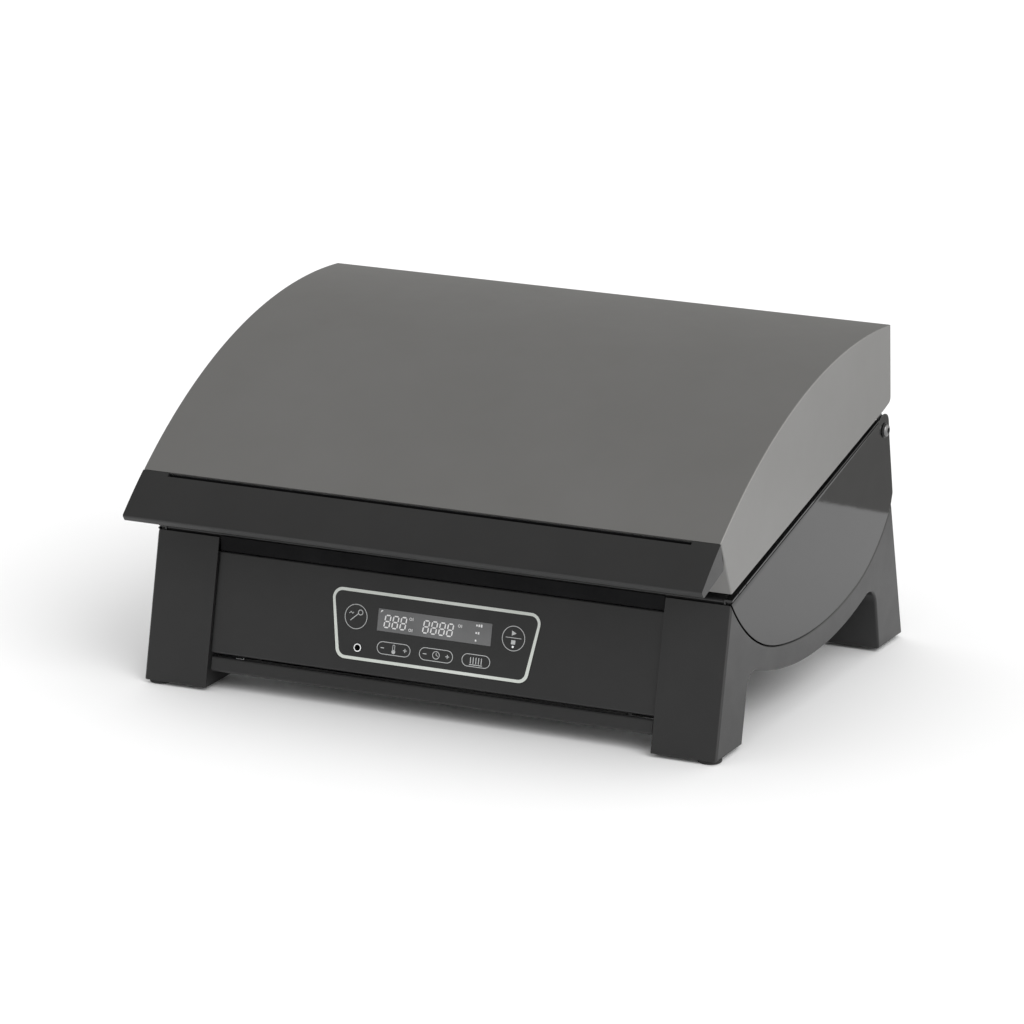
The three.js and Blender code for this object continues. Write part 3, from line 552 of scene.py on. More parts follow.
STAND_ENAMEL = Finish("stand_enamel", (0.0125, 0.0125, 0.0128), (0.0145, 0.0145, 0.0147), (0.36, 0.41),
                      Texture.POWDER, 0.8, 0.022)
SIDE_GLOSS = Finish("side_gloss", (0.006, 0.006, 0.0062), (0.009, 0.009, 0.0092), (0.03, 0.055),
                    Texture.ENAMEL, 3.2, 0.014, patch=35.0, strength=0.6)
HOOD_ENAMEL = Finish("hood_enamel", (0.222, 0.22, 0.215), (0.232, 0.23, 0.226), (0.39, 0.425),
                     Texture.ENAMEL, 0.7, 0.01, metallic=0.75, patch=110.0, strength=0.5)
HANDLE_BLACK = Finish("handle_black", (0.012, 0.012, 0.0122), (0.0135, 0.0135, 0.0137), (0.38, 0.43),
                      Texture.POWDER, 0.7, 0.018)
LINER_STEEL = Finish("liner_steel", (0.018, 0.018, 0.019), (0.028, 0.0275, 0.027), (0.3, 0.44),
                     Texture.ENAMEL, 1.6, 0.015)
BRIGHT_STEEL = Finish("bright_steel", (0.52, 0.52, 0.53), (0.6, 0.6, 0.6), (0.2, 0.34),
                      Texture.BRUSHED, 0.35, 0.006, metallic=1.0, stretch=(0.04, 1.0, 1.0))
SCREW_STEEL = Finish("bright_steel", (0.15, 0.15, 0.152), (0.2, 0.2, 0.2), (0.22, 0.34),
                     Texture.SMOOTH, 0.5, 0.004, metallic=0.85)
WASHER_BLACK = Finish("bright_steel", (0.008, 0.008, 0.0082), (0.011, 0.011, 0.0112), (0.4, 0.5),
                      Texture.SMOOTH, 0.5, 0.004)
CAST_PLATE = Finish("cast_plate", (0.012, 0.012, 0.0122), (0.02, 0.0195, 0.019), (0.38, 0.55),
                    Texture.CAST, 1.1, 0.06, patch=40.0)
ELEMENT_SHEATH = Finish("element_sheath", (0.11, 0.095, 0.08), (0.06, 0.055, 0.075), (0.35, 0.55),
                        Texture.SMOOTH, 0.6, 0.01, metallic=0.85, patch=70.0)
FOOT_RUBBER = Finish("foot_rubber", (0.01, 0.01, 0.01), (0.016, 0.016, 0.016), (0.62, 0.8),
                     Texture.MOULDED, 0.5, 0.03)
# Near-black and dull: the real silicone bumpers, and the strips that paint the shade in the recess above the control
# front and inside the handle's slot.
SILICONE = Finish("silicone", (0.006, 0.006, 0.0065), (0.009, 0.009, 0.0095), (0.6, 0.75),
                  Texture.MOULDED, 0.4, 0.015, specular=0.08)
PANEL_FILM = Finish("panel_film", (0.0135, 0.0138, 0.014), (0.017, 0.0172, 0.0174), (0.3, 0.38),
                    Texture.SMOOTH, 0.35, 0.006)
PRINT_OUTLINE = Finish("panel_film", (0.53, 0.56, 0.52), (0.6, 0.62, 0.59), (0.36, 0.46),
                       Texture.SMOOTH, 0.4, 0.003)
PRINT_FINE = Finish("panel_film", (0.42, 0.43, 0.43), (0.47, 0.48, 0.48), (0.36, 0.46),
                    Texture.SMOOTH, 0.4, 0.003)
PRINT_WHITE = Finish("panel_film", (0.8, 0.81, 0.81), (0.86, 0.86, 0.86), (0.3, 0.4),
                     Texture.SMOOTH, 0.4, 0.003)
LENS_GREY = Finish("display_lens", (0.1, 0.101, 0.103), (0.145, 0.146, 0.148), (0.08, 0.14),
                   Texture.SMOOTH, 0.6, 0.002, coat=0.3, patch=85.0)
DIGIT_LIGHT = Finish("display_lens", (0.66, 0.66, 0.66), (0.7, 0.7, 0.7), (0.2, 0.3),
                     Texture.SMOOTH, 0.5, 0.002)
CIRCUIT_BOARD = Finish("circuit_board", (0.012, 0.085, 0.04), (0.02, 0.13, 0.06), (0.22, 0.36),
                       Texture.SMOOTH, 1.4, 0.02, coat=0.4, patch=9.0)
COMPONENT = Finish("component", (0.022, 0.025, 0.033), (0.04, 0.044, 0.055), (0.35, 0.5),
                   Texture.MOULDED, 0.6, 0.02, patch=12.0)
BLACK_PLASTIC = Finish("black_plastic", (0.013, 0.013, 0.0135), (0.019, 0.019, 0.0195), (0.4, 0.55),
                       Texture.MOULDED, 0.45, 0.03)


class Painter:
    """Builds the node material of a finish, once for each."""

    made: dict[Finish, bpy.types.Material] = {}

    def __init__(self, finish: Finish) -> None:
        """Starts an empty material for a finish."""
        self.finish = finish
        name = next(key.lower() for key, value in globals().items() if value is finish)
        self.material = bpy.data.materials.new(name)
        self.material.use_nodes = True
        self.tree = self.material.node_tree
        self.shader = self.tree.nodes["Principled BSDF"]

    @classmethod
    def of(cls, finish: Finish) -> bpy.types.Material:
        """Returns the material of a finish, made the first time it is asked for."""
        if finish not in cls.made:
            cls.made[finish] = cls(finish).paint()
        return cls.made[finish]

    def node(self, kind: str, **values: object) -> bpy.types.Node:
        """Adds a node and sets its inputs by name.

        Args:
            kind: Blender's name for the node type.
            values: Inputs, with spaces in their names written as underscores.

        Returns:
            The node.
        """
        node = self.tree.nodes.new(kind)
        for key, value in values.items():
            node.inputs[key.replace("_", " ")].default_value = value
        return node

    def link(self, source: bpy.types.NodeSocket, target: bpy.types.NodeSocket) -> None:
        """Joins two sockets."""
        self.tree.links.new(source, target)

    def noise(self, size: float, detail: float = 3.0, stretch: Sequence[float] = (1, 1, 1),
              rough: float = 0.5) -> bpy.types.NodeSocket:
        """Adds a noise of a given size on the piece's own coordinates.

        Args:
            size: Size of its features in millimetres.
            detail: Octaves of finer noise.
            stretch: How each axis is scaled before the noise reads it.
            rough: Weight of the finer octaves.

        Returns:
            The noise's value, 0 to 1.
        """
        place = self.node("ShaderNodeTexCoord")
        mapping = self.node("ShaderNodeMapping", Scale=tuple(stretch))
        noise = self.node("ShaderNodeTexNoise", Scale=1 / (size * MM), Detail=detail, Roughness=rough)
        self.link(place.outputs["Object"], mapping.inputs["Vector"])
        self.link(mapping.outputs["Vector"], noise.inputs["Vector"])
        return noise.outputs["Fac"]

    def spread(self, value: bpy.types.NodeSocket, low: float, high: float) -> bpy.types.NodeSocket:
        """Maps a noise's middle range onto the range given."""
        ramp = self.node("ShaderNodeMapRange")
        for i, number in enumerate((*NOISE_MIDDLE, low, high), 1):
            ramp.inputs[i].default_value = number
        self.link(value, ramp.inputs["Value"])
        return ramp.outputs["Result"]

    def bump(self, height: bpy.types.NodeSocket, depth: float, strength: float,
             under: Optional[bpy.types.NodeSocket] = None) -> bpy.types.NodeSocket:
        """Adds a relief, over another one if given, and returns its normal."""
        bump = self.node("ShaderNodeBump", Strength=strength, Distance=depth * MM)
        self.link(height, bump.inputs["Height"])
        if under is not None:
            self.link(under, bump.inputs["Normal"])
        return bump.outputs["Normal"]

    def relief(self) -> bpy.types.NodeSocket:
        """Adds the relief of the finish's texture and returns its normal."""
        look = self.finish
        fine = self.noise(look.grain, 2.0, look.stretch)
        normal = self.bump(fine, look.relief, look.strength)
        if look.texture is Texture.ENAMEL:
            normal = self.bump(self.noise(look.grain * 6, 1.0), look.relief * 2, look.strength, normal)
        elif look.texture is Texture.POWDER:
            normal = self.bump(self.noise(look.grain * 3.5, 2.0), look.relief * 1.2, look.strength, normal)
        elif look.texture is Texture.CAST:
            pits = self.node("ShaderNodeTexVoronoi", Scale=1 / (look.grain * 2.2 * MM))
            self.link(self.node("ShaderNodeTexCoord").outputs["Object"], pits.inputs["Vector"])
            normal = self.bump(pits.outputs["Distance"], look.relief, 0.6, normal)
        elif look.texture is Texture.BRUSHED:
            broad = self.noise(look.grain * 5, 3.0, look.stretch)
            normal = self.bump(broad, look.relief * 2, look.strength, normal)
        return normal

    def paint(self) -> bpy.types.Material:
        """Joins the nodes of the finish and returns its material."""
        look, shader = self.finish, self.shader
        mix = self.node("ShaderNodeMix")
        mix.data_type = "RGBA"
        for socket in mix.inputs:
            if socket.type == "RGBA":
                socket.default_value = (*(look.colour if socket.name == "A" else look.drift), 1.0)
        patches = self.spread(self.noise(look.patch, 3.0, rough=0.6), 0.0, 1.0)
        self.link(patches, mix.inputs[0])
        colour = next(socket for socket in mix.outputs if socket.type == "RGBA")
        self.link(colour, shader.inputs["Base Color"])
        wear = self.spread(self.noise(look.patch * 0.45, 4.0, rough=0.62), *look.rough)
        self.link(wear, shader.inputs["Roughness"])
        self.link(self.relief(), shader.inputs["Normal"])
        shader.inputs["Metallic"].default_value = look.metallic
        shader.inputs["Specular IOR Level"].default_value = look.specular
        shader.inputs["Coat Weight"].default_value = look.coat
        shader.inputs["Coat Roughness"].default_value = COAT_ROUGHNESS
        return self.material


def dress(obj: bpy.types.Object, finish: Finish, body: str, *nodes: str) -> bpy.types.Object:
    """Gives a finished piece its material, its body and the frame nodes it stands for.

    Args:
        obj: The piece.
        finish: Its finish.
        body: The body it moves with.
        nodes: The frame nodes that it replaces, if any.

    Returns:
        The same piece.
    """
    obj.modifiers.new("even_normals", "WEIGHTED_NORMAL").keep_sharp = True
    settle(obj)
    obj.data.materials.clear()
    obj.data.materials.append(Painter.of(finish))
    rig.ride(obj, body)
    if nodes:
        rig.replaces(obj, *nodes)
    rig.slot(obj, finish.slot)
    log.info("%s: %d faces on %s", obj.name, len(obj.data.polygons), body)
    return obj


# ---------------------------------------------------------------- repeated pieces


class Tree:
    """A Geometry Nodes tree with named inputs."""

    def __init__(self, name: str) -> None:
        """Starts a tree with a geometry input and output."""
        self.group = bpy.data.node_groups.new(name, "GeometryNodeTree")
        self.keys: dict[str, str] = {}
        self.inlet("Geometry", "NodeSocketGeometry")
        self.group.interface.new_socket("Geometry", in_out="OUTPUT", socket_type="NodeSocketGeometry")
        self.start = self.group.nodes.new("NodeGroupInput")
        self.end = self.group.nodes.new("NodeGroupOutput")

    def inlet(self, name: str, kind: str) -> None:
        """Adds a named input and keeps its identifier."""
        socket = self.group.interface.new_socket(name, in_out="INPUT", socket_type=kind)
        self.keys[name] = socket.identifier

    def node(self, kind: str, **settings: object) -> bpy.types.Node:
        """Adds a node and sets its properties."""
        node = self.group.nodes.new(kind)
        for key, value in settings.items():
            setattr(node, key, value)
        return node

    def wire(self, source: bpy.types.Node, outlet: str, target: bpy.types.Node, inlet: str) -> None:
        """Joins two nodes by the names of their sockets."""
        self.group.links.new(source.outputs[outlet], target.inputs[inlet])

    def close(self, last: bpy.types.Node, outlet: str) -> None:
        """Ends the tree in real geometry with the finish of its input."""
        real = self.node("GeometryNodeRealizeInstances")
        paint = self.node("GeometryNodeSetMaterial")
        self.wire(last, outlet, real, "Geometry")
        self.wire(real, "Geometry", paint, "Geometry")
        self.wire(self.start, "Finish", paint, "Material")
        self.wire(paint, "Geometry", self.end, "Geometry")

    def run(self, obj: bpy.types.Object, **values: object) -> bpy.types.Object:
        """Runs the tree on an object, applies it and returns the object.

        Args:
            obj: The object whose mesh goes in.
            values: The tree's named inputs.

        Returns:
            The same object with a plain mesh.
        """
        step = obj.modifiers.new(self.group.name, "NODES")
        step.node_group = self.group
        for name, value in values.items():
            step[self.keys[name]] = value
        return settle(obj)


def setting_tree() -> Tree:
    """Builds the tree that sets a copy of one part on every point it is given."""
    tree = Tree("set_on_points")
    tree.inlet("Part", "NodeSocketObject")
    tree.inlet("Finish", "NodeSocketMaterial")
    part = tree.node("GeometryNodeObjectInfo", transform_space="ORIGINAL")
    copies = tree.node("GeometryNodeInstanceOnPoints")
    tree.wire(tree.start, "Part", part, "Object")
    tree.wire(tree.start, "Geometry", copies, "Points")
    tree.wire(part, "Geometry", copies, "Instance")
    tree.close(copies, "Instances")
    return tree


def slotting_tree() -> Tree:
    """Builds the tree that cuts a row of equal openings through a sheet."""
    tree = Tree("slot_row")
    for name, kind in (("Count", "Int"), ("First", "Vector"), ("Step", "Vector"), ("Size", "Vector"),
                       ("Finish", "Material")):
        tree.inlet(name, f"NodeSocket{kind}")
    row = tree.node("GeometryNodeMeshLine", mode="OFFSET")
    shape = tree.node("GeometryNodeMeshCube")
    copies = tree.node("GeometryNodeInstanceOnPoints")
    real = tree.node("GeometryNodeRealizeInstances")
    cut = tree.node("GeometryNodeMeshBoolean", operation="DIFFERENCE", solver="EXACT")
    tree.wire(tree.start, "Count", row, "Count")
    tree.wire(tree.start, "First", row, "Start Location")
    tree.wire(tree.start, "Step", row, "Offset")
    tree.wire(tree.start, "Size", shape, "Size")
    tree.wire(row, "Mesh", copies, "Points")
    tree.wire(shape, "Mesh", copies, "Instance")
    tree.wire(copies, "Instances", real, "Geometry")
    tree.wire(tree.start, "Geometry", cut, "Mesh 1")
    tree.wire(real, "Geometry", cut, "Mesh 2")
    tree.close(cut, "Mesh")
    return tree


def bending_tree() -> Tree:
    """Builds the tree that runs a round tube along a path and rounds its bends."""
    tree = Tree("bent_tube")
    for name, kind in (("Radius", "Float"), ("Bend", "Float"), ("Sides", "Int"), ("Finish", "Material")):
        tree.inlet(name, f"NodeSocket{kind}")
    curve = tree.node("GeometryNodeMeshToCurve")
    bend = tree.node("GeometryNodeFilletCurve", mode="POLY")
    bend.inputs[1].default_value = 10
    section = tree.node("GeometryNodeCurvePrimitiveCircle", mode="RADIUS")
    tube = tree.node("GeometryNodeCurveToMesh")
    tube.inputs["Fill Caps"].default_value = True
    tree.wire(tree.start, "Geometry", curve, "Mesh")
    tree.wire(curve, "Curve", bend, "Curve")
    tree.wire(tree.start, "Bend", bend, "Radius")
    tree.wire(tree.start, "Radius", section, "Radius")
    tree.wire(tree.start, "Sides", section, "Resolution")
    tree.wire(bend, "Curve", tube, "Curve")
    tree.wire(section, "Curve", tube, "Profile Curve")
    tree.close(tube, "Mesh")
    return tree


class Workshop:
    """The Geometry Nodes trees, built once and shared by every sub-assembly."""

    def __init__(self) -> None:
        """Builds the three trees."""
        self.setting = setting_tree()
        self.slotting = slotting_tree()
        self.bending = bending_tree()

    def points(self, name: str, places: Sequence[Sequence[float]],
               joined: bool = False) -> bpy.types.Object:
        """Makes an object of bare points, or of a path through them, in millimetres."""
        mesh = bpy.data.meshes.new(name)
        edges = [(i, i + 1) for i in range(len(places) - 1)] if joined else []
        mesh.from_pydata([Vector(p) * MM for p in places], edges, [])
        obj = bpy.data.objects.new(name, mesh)
        bpy.context.scene.collection.objects.link(obj)
        return obj

    def set_copies(self, name: str, part: BMesh, places: Sequence[Sequence[float]], finish: Finish,
                   crease: float = CREASE) -> bpy.types.Object:
        """Sets copies of a part, drawn about zero, on the places given.

        Args:
            name: Name of the piece that holds all the copies.
            part: One copy, in millimetres.
            places: Where each copy goes.
            finish: Finish of the copies.
            crease: Angle in degrees above which an edge stays sharp.

        Returns:
            The piece.
        """
        pattern = make("pattern", part, crease)
        copies = self.points(name, places)
        self.setting.run(copies, Part=pattern, Finish=Painter.of(finish))
        bpy.data.objects.remove(pattern)
        shade(copies.data, crease)
        return copies

    def cut_row(self, obj: bpy.types.Object, count: int, first: Sequence[float], step: Sequence[float],
                size: Sequence[float], finish: Finish) -> bpy.types.Object:
        """Cuts a row of equal openings through a sheet.

        Args:
            obj: The sheet.
            count: Number of openings.
            first: Middle of the first one, in millimetres.
            step: From one to the next.
            size: Size of an opening's box.
            finish: Finish of the sheet.

        Returns:
            The same sheet.
        """
        scaled = [[value * MM for value in values] for values in (first, step, size)]
        self.slotting.run(obj, Count=count, First=scaled[0], Step=scaled[1], Size=scaled[2],
                          Finish=Painter.of(finish))
        shade(obj.data, CREASE)
        return obj

    def bend_tube(self, name: str, path: Sequence[Sequence[float]], radius: float, bend: float,
                  finish: Finish, sides: int = 14) -> bpy.types.Object:
        """Runs a round tube along a path of straight runs.

        Args:
            name: Name of the piece.
            path: Corners of the path in millimetres.
            radius: Radius of the tube.
            bend: Radius of its bends.
            finish: Finish of the tube.
            sides: Flats round the tube.

        Returns:
            The piece.
        """
        tube = self.points(name, path, joined=True)
        self.bending.run(tube, Radius=radius * MM, Bend=bend * MM, Sides=sides,
                         Finish=Painter.of(finish))
        shade(tube.data, 40.0)
        return tube


def screw_head(radius: float, height: float, place: Matrix, sides: int = 24) -> BMesh:
    """Draws a plain pan head, its underside on the plane.

    Args:
        radius: Radius of the head.
        height: Height of the head.
        place: Plane it sits on; the third axis points out.
        sides: Flats round the head.

    Returns:
        One closed solid.
    """
    flank = [(radius, 0.0), (radius, height * 0.35)]
    crown = [(radius * 0.86, height * 0.75), (radius * 0.6, height), (0.0, height)]
    return lathe([(0.0, 0.0), *flank, *crown], place, sides)


# ---------------------------------------------------------------- shared lines of the body


@dataclass(frozen=True)
class Arc:
    """A circle in the side view."""

    y: float
    z: float
    r: float

    def low(self, y: float, grow: float = 0.0) -> float:
        """Returns the height of the lower branch at y."""
        return self.z - math.sqrt((self.r + grow) ** 2 - (y - self.y) ** 2)

    def high(self, y: float, inset: float = 0.0) -> float:
        """Returns the height of the upper branch at y."""
        return self.z + math.sqrt((self.r - inset) ** 2 - (y - self.y) ** 2)

    def walk(self, start: float, end: float, grow: float = 0.0, steps: int = 22) -> Outline:
        """Returns points on the lower branch between two y values, evenly spaced in angle."""
        radius = self.r + grow
        first, last = (math.asin(max(-1.0, min(1.0, (y - self.y) / radius))) for y in (start, end))
        angles = [first + (last - first) * i / steps for i in range(steps + 1)]
        return [(self.y + radius * math.sin(t), self.z - radius * math.cos(t)) for t in angles]


@dataclass(frozen=True)
class Site:
    """Lines and planes that several sub-assemblies share, in millimetres."""

    front_y: float = -224.0
    front_lean: float = 0.2256
    rear_y: float = 264.5
    rear_lean: float = -0.2387
    setback: float = 4.0
    sheet: float = 1.5
    liner: float = 1.2
    seam: float = 0.4
    belly_front: Arc = Arc(-32.5, 276.0, 197.1)
    belly: Arc = Arc(15.3, 506.0, 432.0)
    belly_rear: Arc = Arc(80.3, 267.5, 184.8)
    box_front: tuple[float, float] = (-188.5, 160.3)
    rim_slope: float = 0.2465
    half: float = field(default_factory=lambda: box("stand_right")[1].x)
    inner: float = field(default_factory=lambda: box("stand_right")[0].x)
    foot_top: float = field(default_factory=lambda: box("stand_right")[0].z)

    @property
    def lean_angle(self) -> float:
        """Angle of the front plane from upright."""
        return math.atan(self.front_lean)

    @property
    def front(self) -> Matrix:
        """The control front: across, up the slope, out towards the cook."""
        up = (0, math.sin(self.lean_angle), math.cos(self.lean_angle))
        return plane((0, self.front_y + self.setback, 0), (1, 0, 0), up)

    @property
    def rear(self) -> Matrix:
        """The rear bar's face: across to the left, up the slope, out to the rear."""
        angle = math.atan(-self.rear_lean)
        return plane((0, self.rear_y - 3, 0), (-1, 0, 0), (0, -math.sin(angle), math.cos(angle)))

    @property
    def hinge(self) -> Vector:
        """The hood's pivot on the right-hand side panel's outer face."""
        low, high = box("hinge_washer_right")
        middle = (low + high) / 2
        return Vector((self.half, middle.y, middle.z))

    def pivot(self, out: float) -> Matrix:
        """Returns a plane square to the pivot, its zero at x = out, facing right."""
        return plane((out, self.hinge.y, self.hinge.z), (0, 1, 0), (0, 0, 1))

    def rim(self, y: float) -> float:
        """Returns the height of the firebox's rim line at y."""
        return self.box_front[1] + self.rim_slope * (y - self.box_front[0])

    def seam_line(self, start: float, end: float, grow: float) -> Outline:
        """Returns the firebox's underside from front to rear, moved down by grow."""
        def touch(arc: Arc) -> float:
            away = Vector((arc.y - self.belly.y, arc.z - self.belly.z)).normalized()
            return arc.y + away.x * (arc.r + grow)

        first, second = touch(self.belly_front), touch(self.belly_rear)
        return [*self.belly_front.walk(start, first, grow), *self.belly.walk(first, second, grow)[1:],
                *self.belly_rear.walk(second, end, grow)[1:]]


def leaning(y: float, lean: float, z: float) -> float:
    """Returns the y of a leaning edge at a height."""
    return y + lean * z


# ---------------------------------------------------------------- stands and feet


@dataclass
class Stands:
    """The two pressed side stands and their four feet."""

    site: Site
    shop: Workshop
    leg_back_y: float = -160.4
    rear_leg_front_y: float = 200.0
    rear_leg_lean: float = -0.2
    arch: Arc = Arc(18.5, 497.0, 449.0)
    shoulders: tuple[float, float] = (17.0, 20.0)
    shoulder_reach: float = 24.0
    bend: float = 2.6
    foot_radius: float = 12.0

    def tip(self, edge_y: float, lean: float, arc: Arc, side: int) -> float:
        """Finds where a leaning edge meets the outer end of a seam arc."""
        low, high = 60.0, 240.0
        for _ in range(50):
            z = (low + high) / 2
            reach = math.sqrt((arc.r + self.site.seam) ** 2 - (z - arc.z) ** 2)
            if side * (leaning(edge_y, lean, z) - arc.y) > reach:
                low = z
            else:
                high = z
        return (low + high) / 2

    def corner(self, edge_y: float, lean: float) -> tuple[float, float]:
        """Finds where a leg's inner edge meets the arch."""
        z = 70.0
        for _ in range(40):
            z = self.arch.low(leaning(edge_y, lean, z))
        return leaning(edge_y, lean, z), z

    def outline(self) -> Outline:
        """Draws the stand from the side, its arch and the curve that cradles the firebox."""
        site, base = self.site, self.site.foot_top
        front_tip = self.tip(site.front_y, site.front_lean, site.belly_front, -1)
        rear_tip = self.tip(site.rear_y, site.rear_lean, site.belly_rear, 1)
        first = self.corner(self.leg_back_y, site.front_lean)
        last = self.corner(self.rear_leg_front_y, self.rear_leg_lean)
        arch = self.arch.walk(first[0] + self.shoulder_reach, last[0] - self.shoulder_reach, steps=40)
        seam = site.seam_line(leaning(site.front_y, site.front_lean, front_tip),
                              leaning(site.rear_y, site.rear_lean, rear_tip), site.seam)
        return fillet([
            (leaning(site.front_y, site.front_lean, base), base),
            (leaning(self.leg_back_y, site.front_lean, base), base),
            (*first, self.shoulders[0]),
            *arch,
            (*last, self.shoulders[1]),
            (leaning(self.rear_leg_front_y, self.rear_leg_lean, base), base),
            (leaning(site.rear_y, site.rear_lean, base), base),
            *seam[::-1],
        ])

    def shell(self) -> BMesh:
        """Draws the right-hand pressing as a skin that is open towards the middle."""
        site = self.site
        bm = prism(self.outline(), site.inner, site.half)
        inner = [face for face in bm.faces if face.calc_center_median().x < site.inner + 0.1]
        bmesh.ops.delete(bm, geom=inner, context="FACES_ONLY")
        return soften(bm, self.bend, 4, 50.0, lambda middle: middle.x > site.half - 0.1)

    def cheek(self) -> BMesh:
        """Draws the plate that closes the right-hand front leg towards the middle."""
        site = self.site
        base = site.foot_top + 0.4
        corners = [(base, 0.4), (base, 53), (100, 50), (140, 7), (140, 0.4)]
        outline = [(leaning(site.front_y + along, site.front_lean, z), z) for z, along in corners]
        return soften(prism(outline, site.inner, site.inner + site.sheet), 0.4, 2)

    def foot(self, place: Matrix) -> BMesh:
        """Draws a rubber foot with a soft edge and a tread groove round a hollow middle."""
        r, top = self.foot_radius, self.site.foot_top - 0.2
        tread = [(0, 0.5), (4, 0.5), (4.6, 0), (6.6, 0), (7.2, 0.5), (8.2, 0.5), (8.8, 0)]
        edge = [(r - 1.4, 0), (r - 0.5, 0.35), (r, 1.2)]
        shoulder = [(r, top - 0.9), (r - 0.3, top - 0.3), (r - 0.9, top), (0, top)]
        return lathe(tread + edge + shoulder, place, 56)

    def build(self) -> None:
        """Makes the stands and feet."""
        for side, name in SIDES:
            skin, cheek = sided(side, self.shell(), self.cheek())
            stand = thicken(make(f"stand_pressing_{name}", skin, 24.0), self.site.sheet)
            dress(stand, STAND_ENAMEL, "body", f"stand_{name}")
            dress(make(f"leg_cheek_{name}", cheek), STAND_ENAMEL, "body")
            for end in ("front", "rear"):
                node = f"foot_{end}_{name}"
                foot = make(f"rubber_{node}", self.foot(over(node)), 40.0)
                dress(foot, FOOT_RUBBER, "body", node)


# ---------------------------------------------------------------- firebox


@dataclass
class Firebox:
    """The body that holds the plate: glossy sides, bent shell, rim caps, element and spout."""

    site: Site
    shop: Workshop
    rim_cap: float = 3.2
    cap_thick: float = 1.9
    cap_end: float = 188.5
    cap_fold: float = 9.0
    nick_half: float = 0.7
    nick_depth: float = 2.2
    drain_radius: float = 9.3
    deflector_half: float = 296.0
    vents: int = 9
    vent_first: tuple[float, float, float] = (-200.0, 220.0, 235.0)
    vent_step: tuple[float, float, float] = (50.0, 0.0, 0.0)
    vent_size: tuple[float, float, float] = (28.0, 40.0, 6.0)
    rear_corner: tuple[float, float] = (230.0, 166.0)
    lug_rear: tuple[float, float] = (218.5, 227.0)
    lug_top: float = 256.2
    liner_x: float = 312.0
    notches: tuple[float, float] = (-172.0, -154.0)

    def side_outline(self) -> Outline:
        """Draws the glossy side panel with its hinge lug."""
        site = self.site
        (front_y, front_z), (lug_y, lug_z) = site.box_front, self.lug_rear
        low, high = front_z - 3.5, self.rear_corner[1] - 12
        first, last = site.belly_front, site.belly_rear
        start = first.y - math.sqrt((first.r - site.seam) ** 2 - (low - first.z) ** 2)
        end = last.y + math.sqrt((last.r - site.seam) ** 2 - (high - last.z) ** 2)
        return fillet([
            *site.seam_line(start, end, -site.seam),
            (*self.rear_corner, 3),
            (lug_y, lug_z, 6),
            (lug_y - 4, self.lug_top, 11),
            (lug_y - 24, self.lug_top - 0.5, 4),
            (lug_y - 32, site.rim(lug_y - 32) - self.rim_cap, 3),
            (front_y, front_z - self.rim_cap),
        ])

    def side(self) -> BMesh:
        """Draws the right-hand side panel."""
        half = self.site.half
        bm = prism(self.side_outline(), half - self.site.sheet, half)
        return soften(bm, 0.7, 3, 50.0, lambda middle: middle.x > half - 0.1)

    def cap(self) -> BMesh:
        """Draws the right-hand rim cap, folded down inside; build_sides cuts the two nicks in its edge."""
        site = self.site
        start, end = site.box_front[0] + 1, self.cap_end
        wall = self.liner_x - site.liner
        path = fillet([(site.half, -0.0), (wall, -0.0, 2.0), (wall, -self.cap_fold)], 5, False)
        section = fold(path, self.cap_thick)
        bm = bmesh.new()
        rings = [[bm.verts.new((x, y, site.rim(y) + z)) for x, z in section] for y in (start, end)]
        bm.faces.new(rings[0])
        bm.faces.new(rings[1][::-1])
        for i in range(len(section)):
            j = (i + 1) % len(section)
            bm.faces.new((rings[0][i], rings[1][i], rings[1][j], rings[0][j]))
        bmesh.ops.recalc_face_normals(bm, faces=bm.faces)
        return bm

    def liner(self) -> BMesh:
        """Draws the right-hand inner wall of the firebox."""
        site = self.site
        grow = -site.seam - 1 - site.liner - 0.6
        front, rear = -167.5, 186
        top = [(rear, site.rim(rear) - 2), (front, site.rim(front) - 2), (front, site.rim(front) - 6)]
        wall = [*site.seam_line(-178, 214, grow), (212, 216), *top]
        return prism(wall, self.liner_x - site.liner, self.liner_x)

    def shell(self) -> BMesh:
        """Draws the bent sheet of the front lip, curved floor and rear wall."""
        site = self.site
        (front_y, front_z) = site.box_front
        floor = site.seam_line(-181, 222, -site.seam - 1)
        path = fillet([
            (front_y + 20, site.rim(front_y + 20) - site.liner),
            (front_y + 1, site.rim(front_y) - site.liner, 2.2),
            (front_y + 5.5, 152, 1.5),
            *floor,
            (228, 166, 2.5),
            (self.lug_rear[0] - 0.6, 222, 4),
            (self.lug_rear[0] - 3.5, 248),
        ], 5, False)
        half = site.half - site.sheet - 0.3
        return prism(fold(path, site.liner), -half, half)

    def build_shell(self) -> None:
        """Makes the shell with its vents, drain, arm notches and element holes."""
        shell = make("firebox_wrap", self.shell())
        notches = [block((left, 195, 218), (left + 30, 240, 260)) for left in (300, -330)]
        drain = prism(circle(0, self.site.belly.y, self.drain_radius), 60, 95, FLAT)
        leads = [prism(circle(x, 126, 4.8, 32), -230, -180, FRONT) for x in (-30, 30)]
        carve(shell, *notches, drain, *leads)
        self.shop.cut_row(shell, self.vents, self.vent_first, self.vent_step, self.vent_size, LINER_STEEL)
        dress(ease(shell, 0.35), LINER_STEEL, "body", "firebox_shell")

    def build_baffle(self) -> None:
        """Makes a near-black, dull strip between the control front and the lip that paints the shade in the recess
        there.
        """
        face, half = self.site.box_front[0] + 0.6, box("fascia")[1].x - 0.5
        strip = prism(rectangle(face + 0.6, 148.9, 1.2, 15.2), -half, half)
        # painted shade: a near-black strip set in the recess above the control front, where there is only shade
        dress(make("heat_baffle", soften(strip, 0.2, 1)), SILICONE, "body")

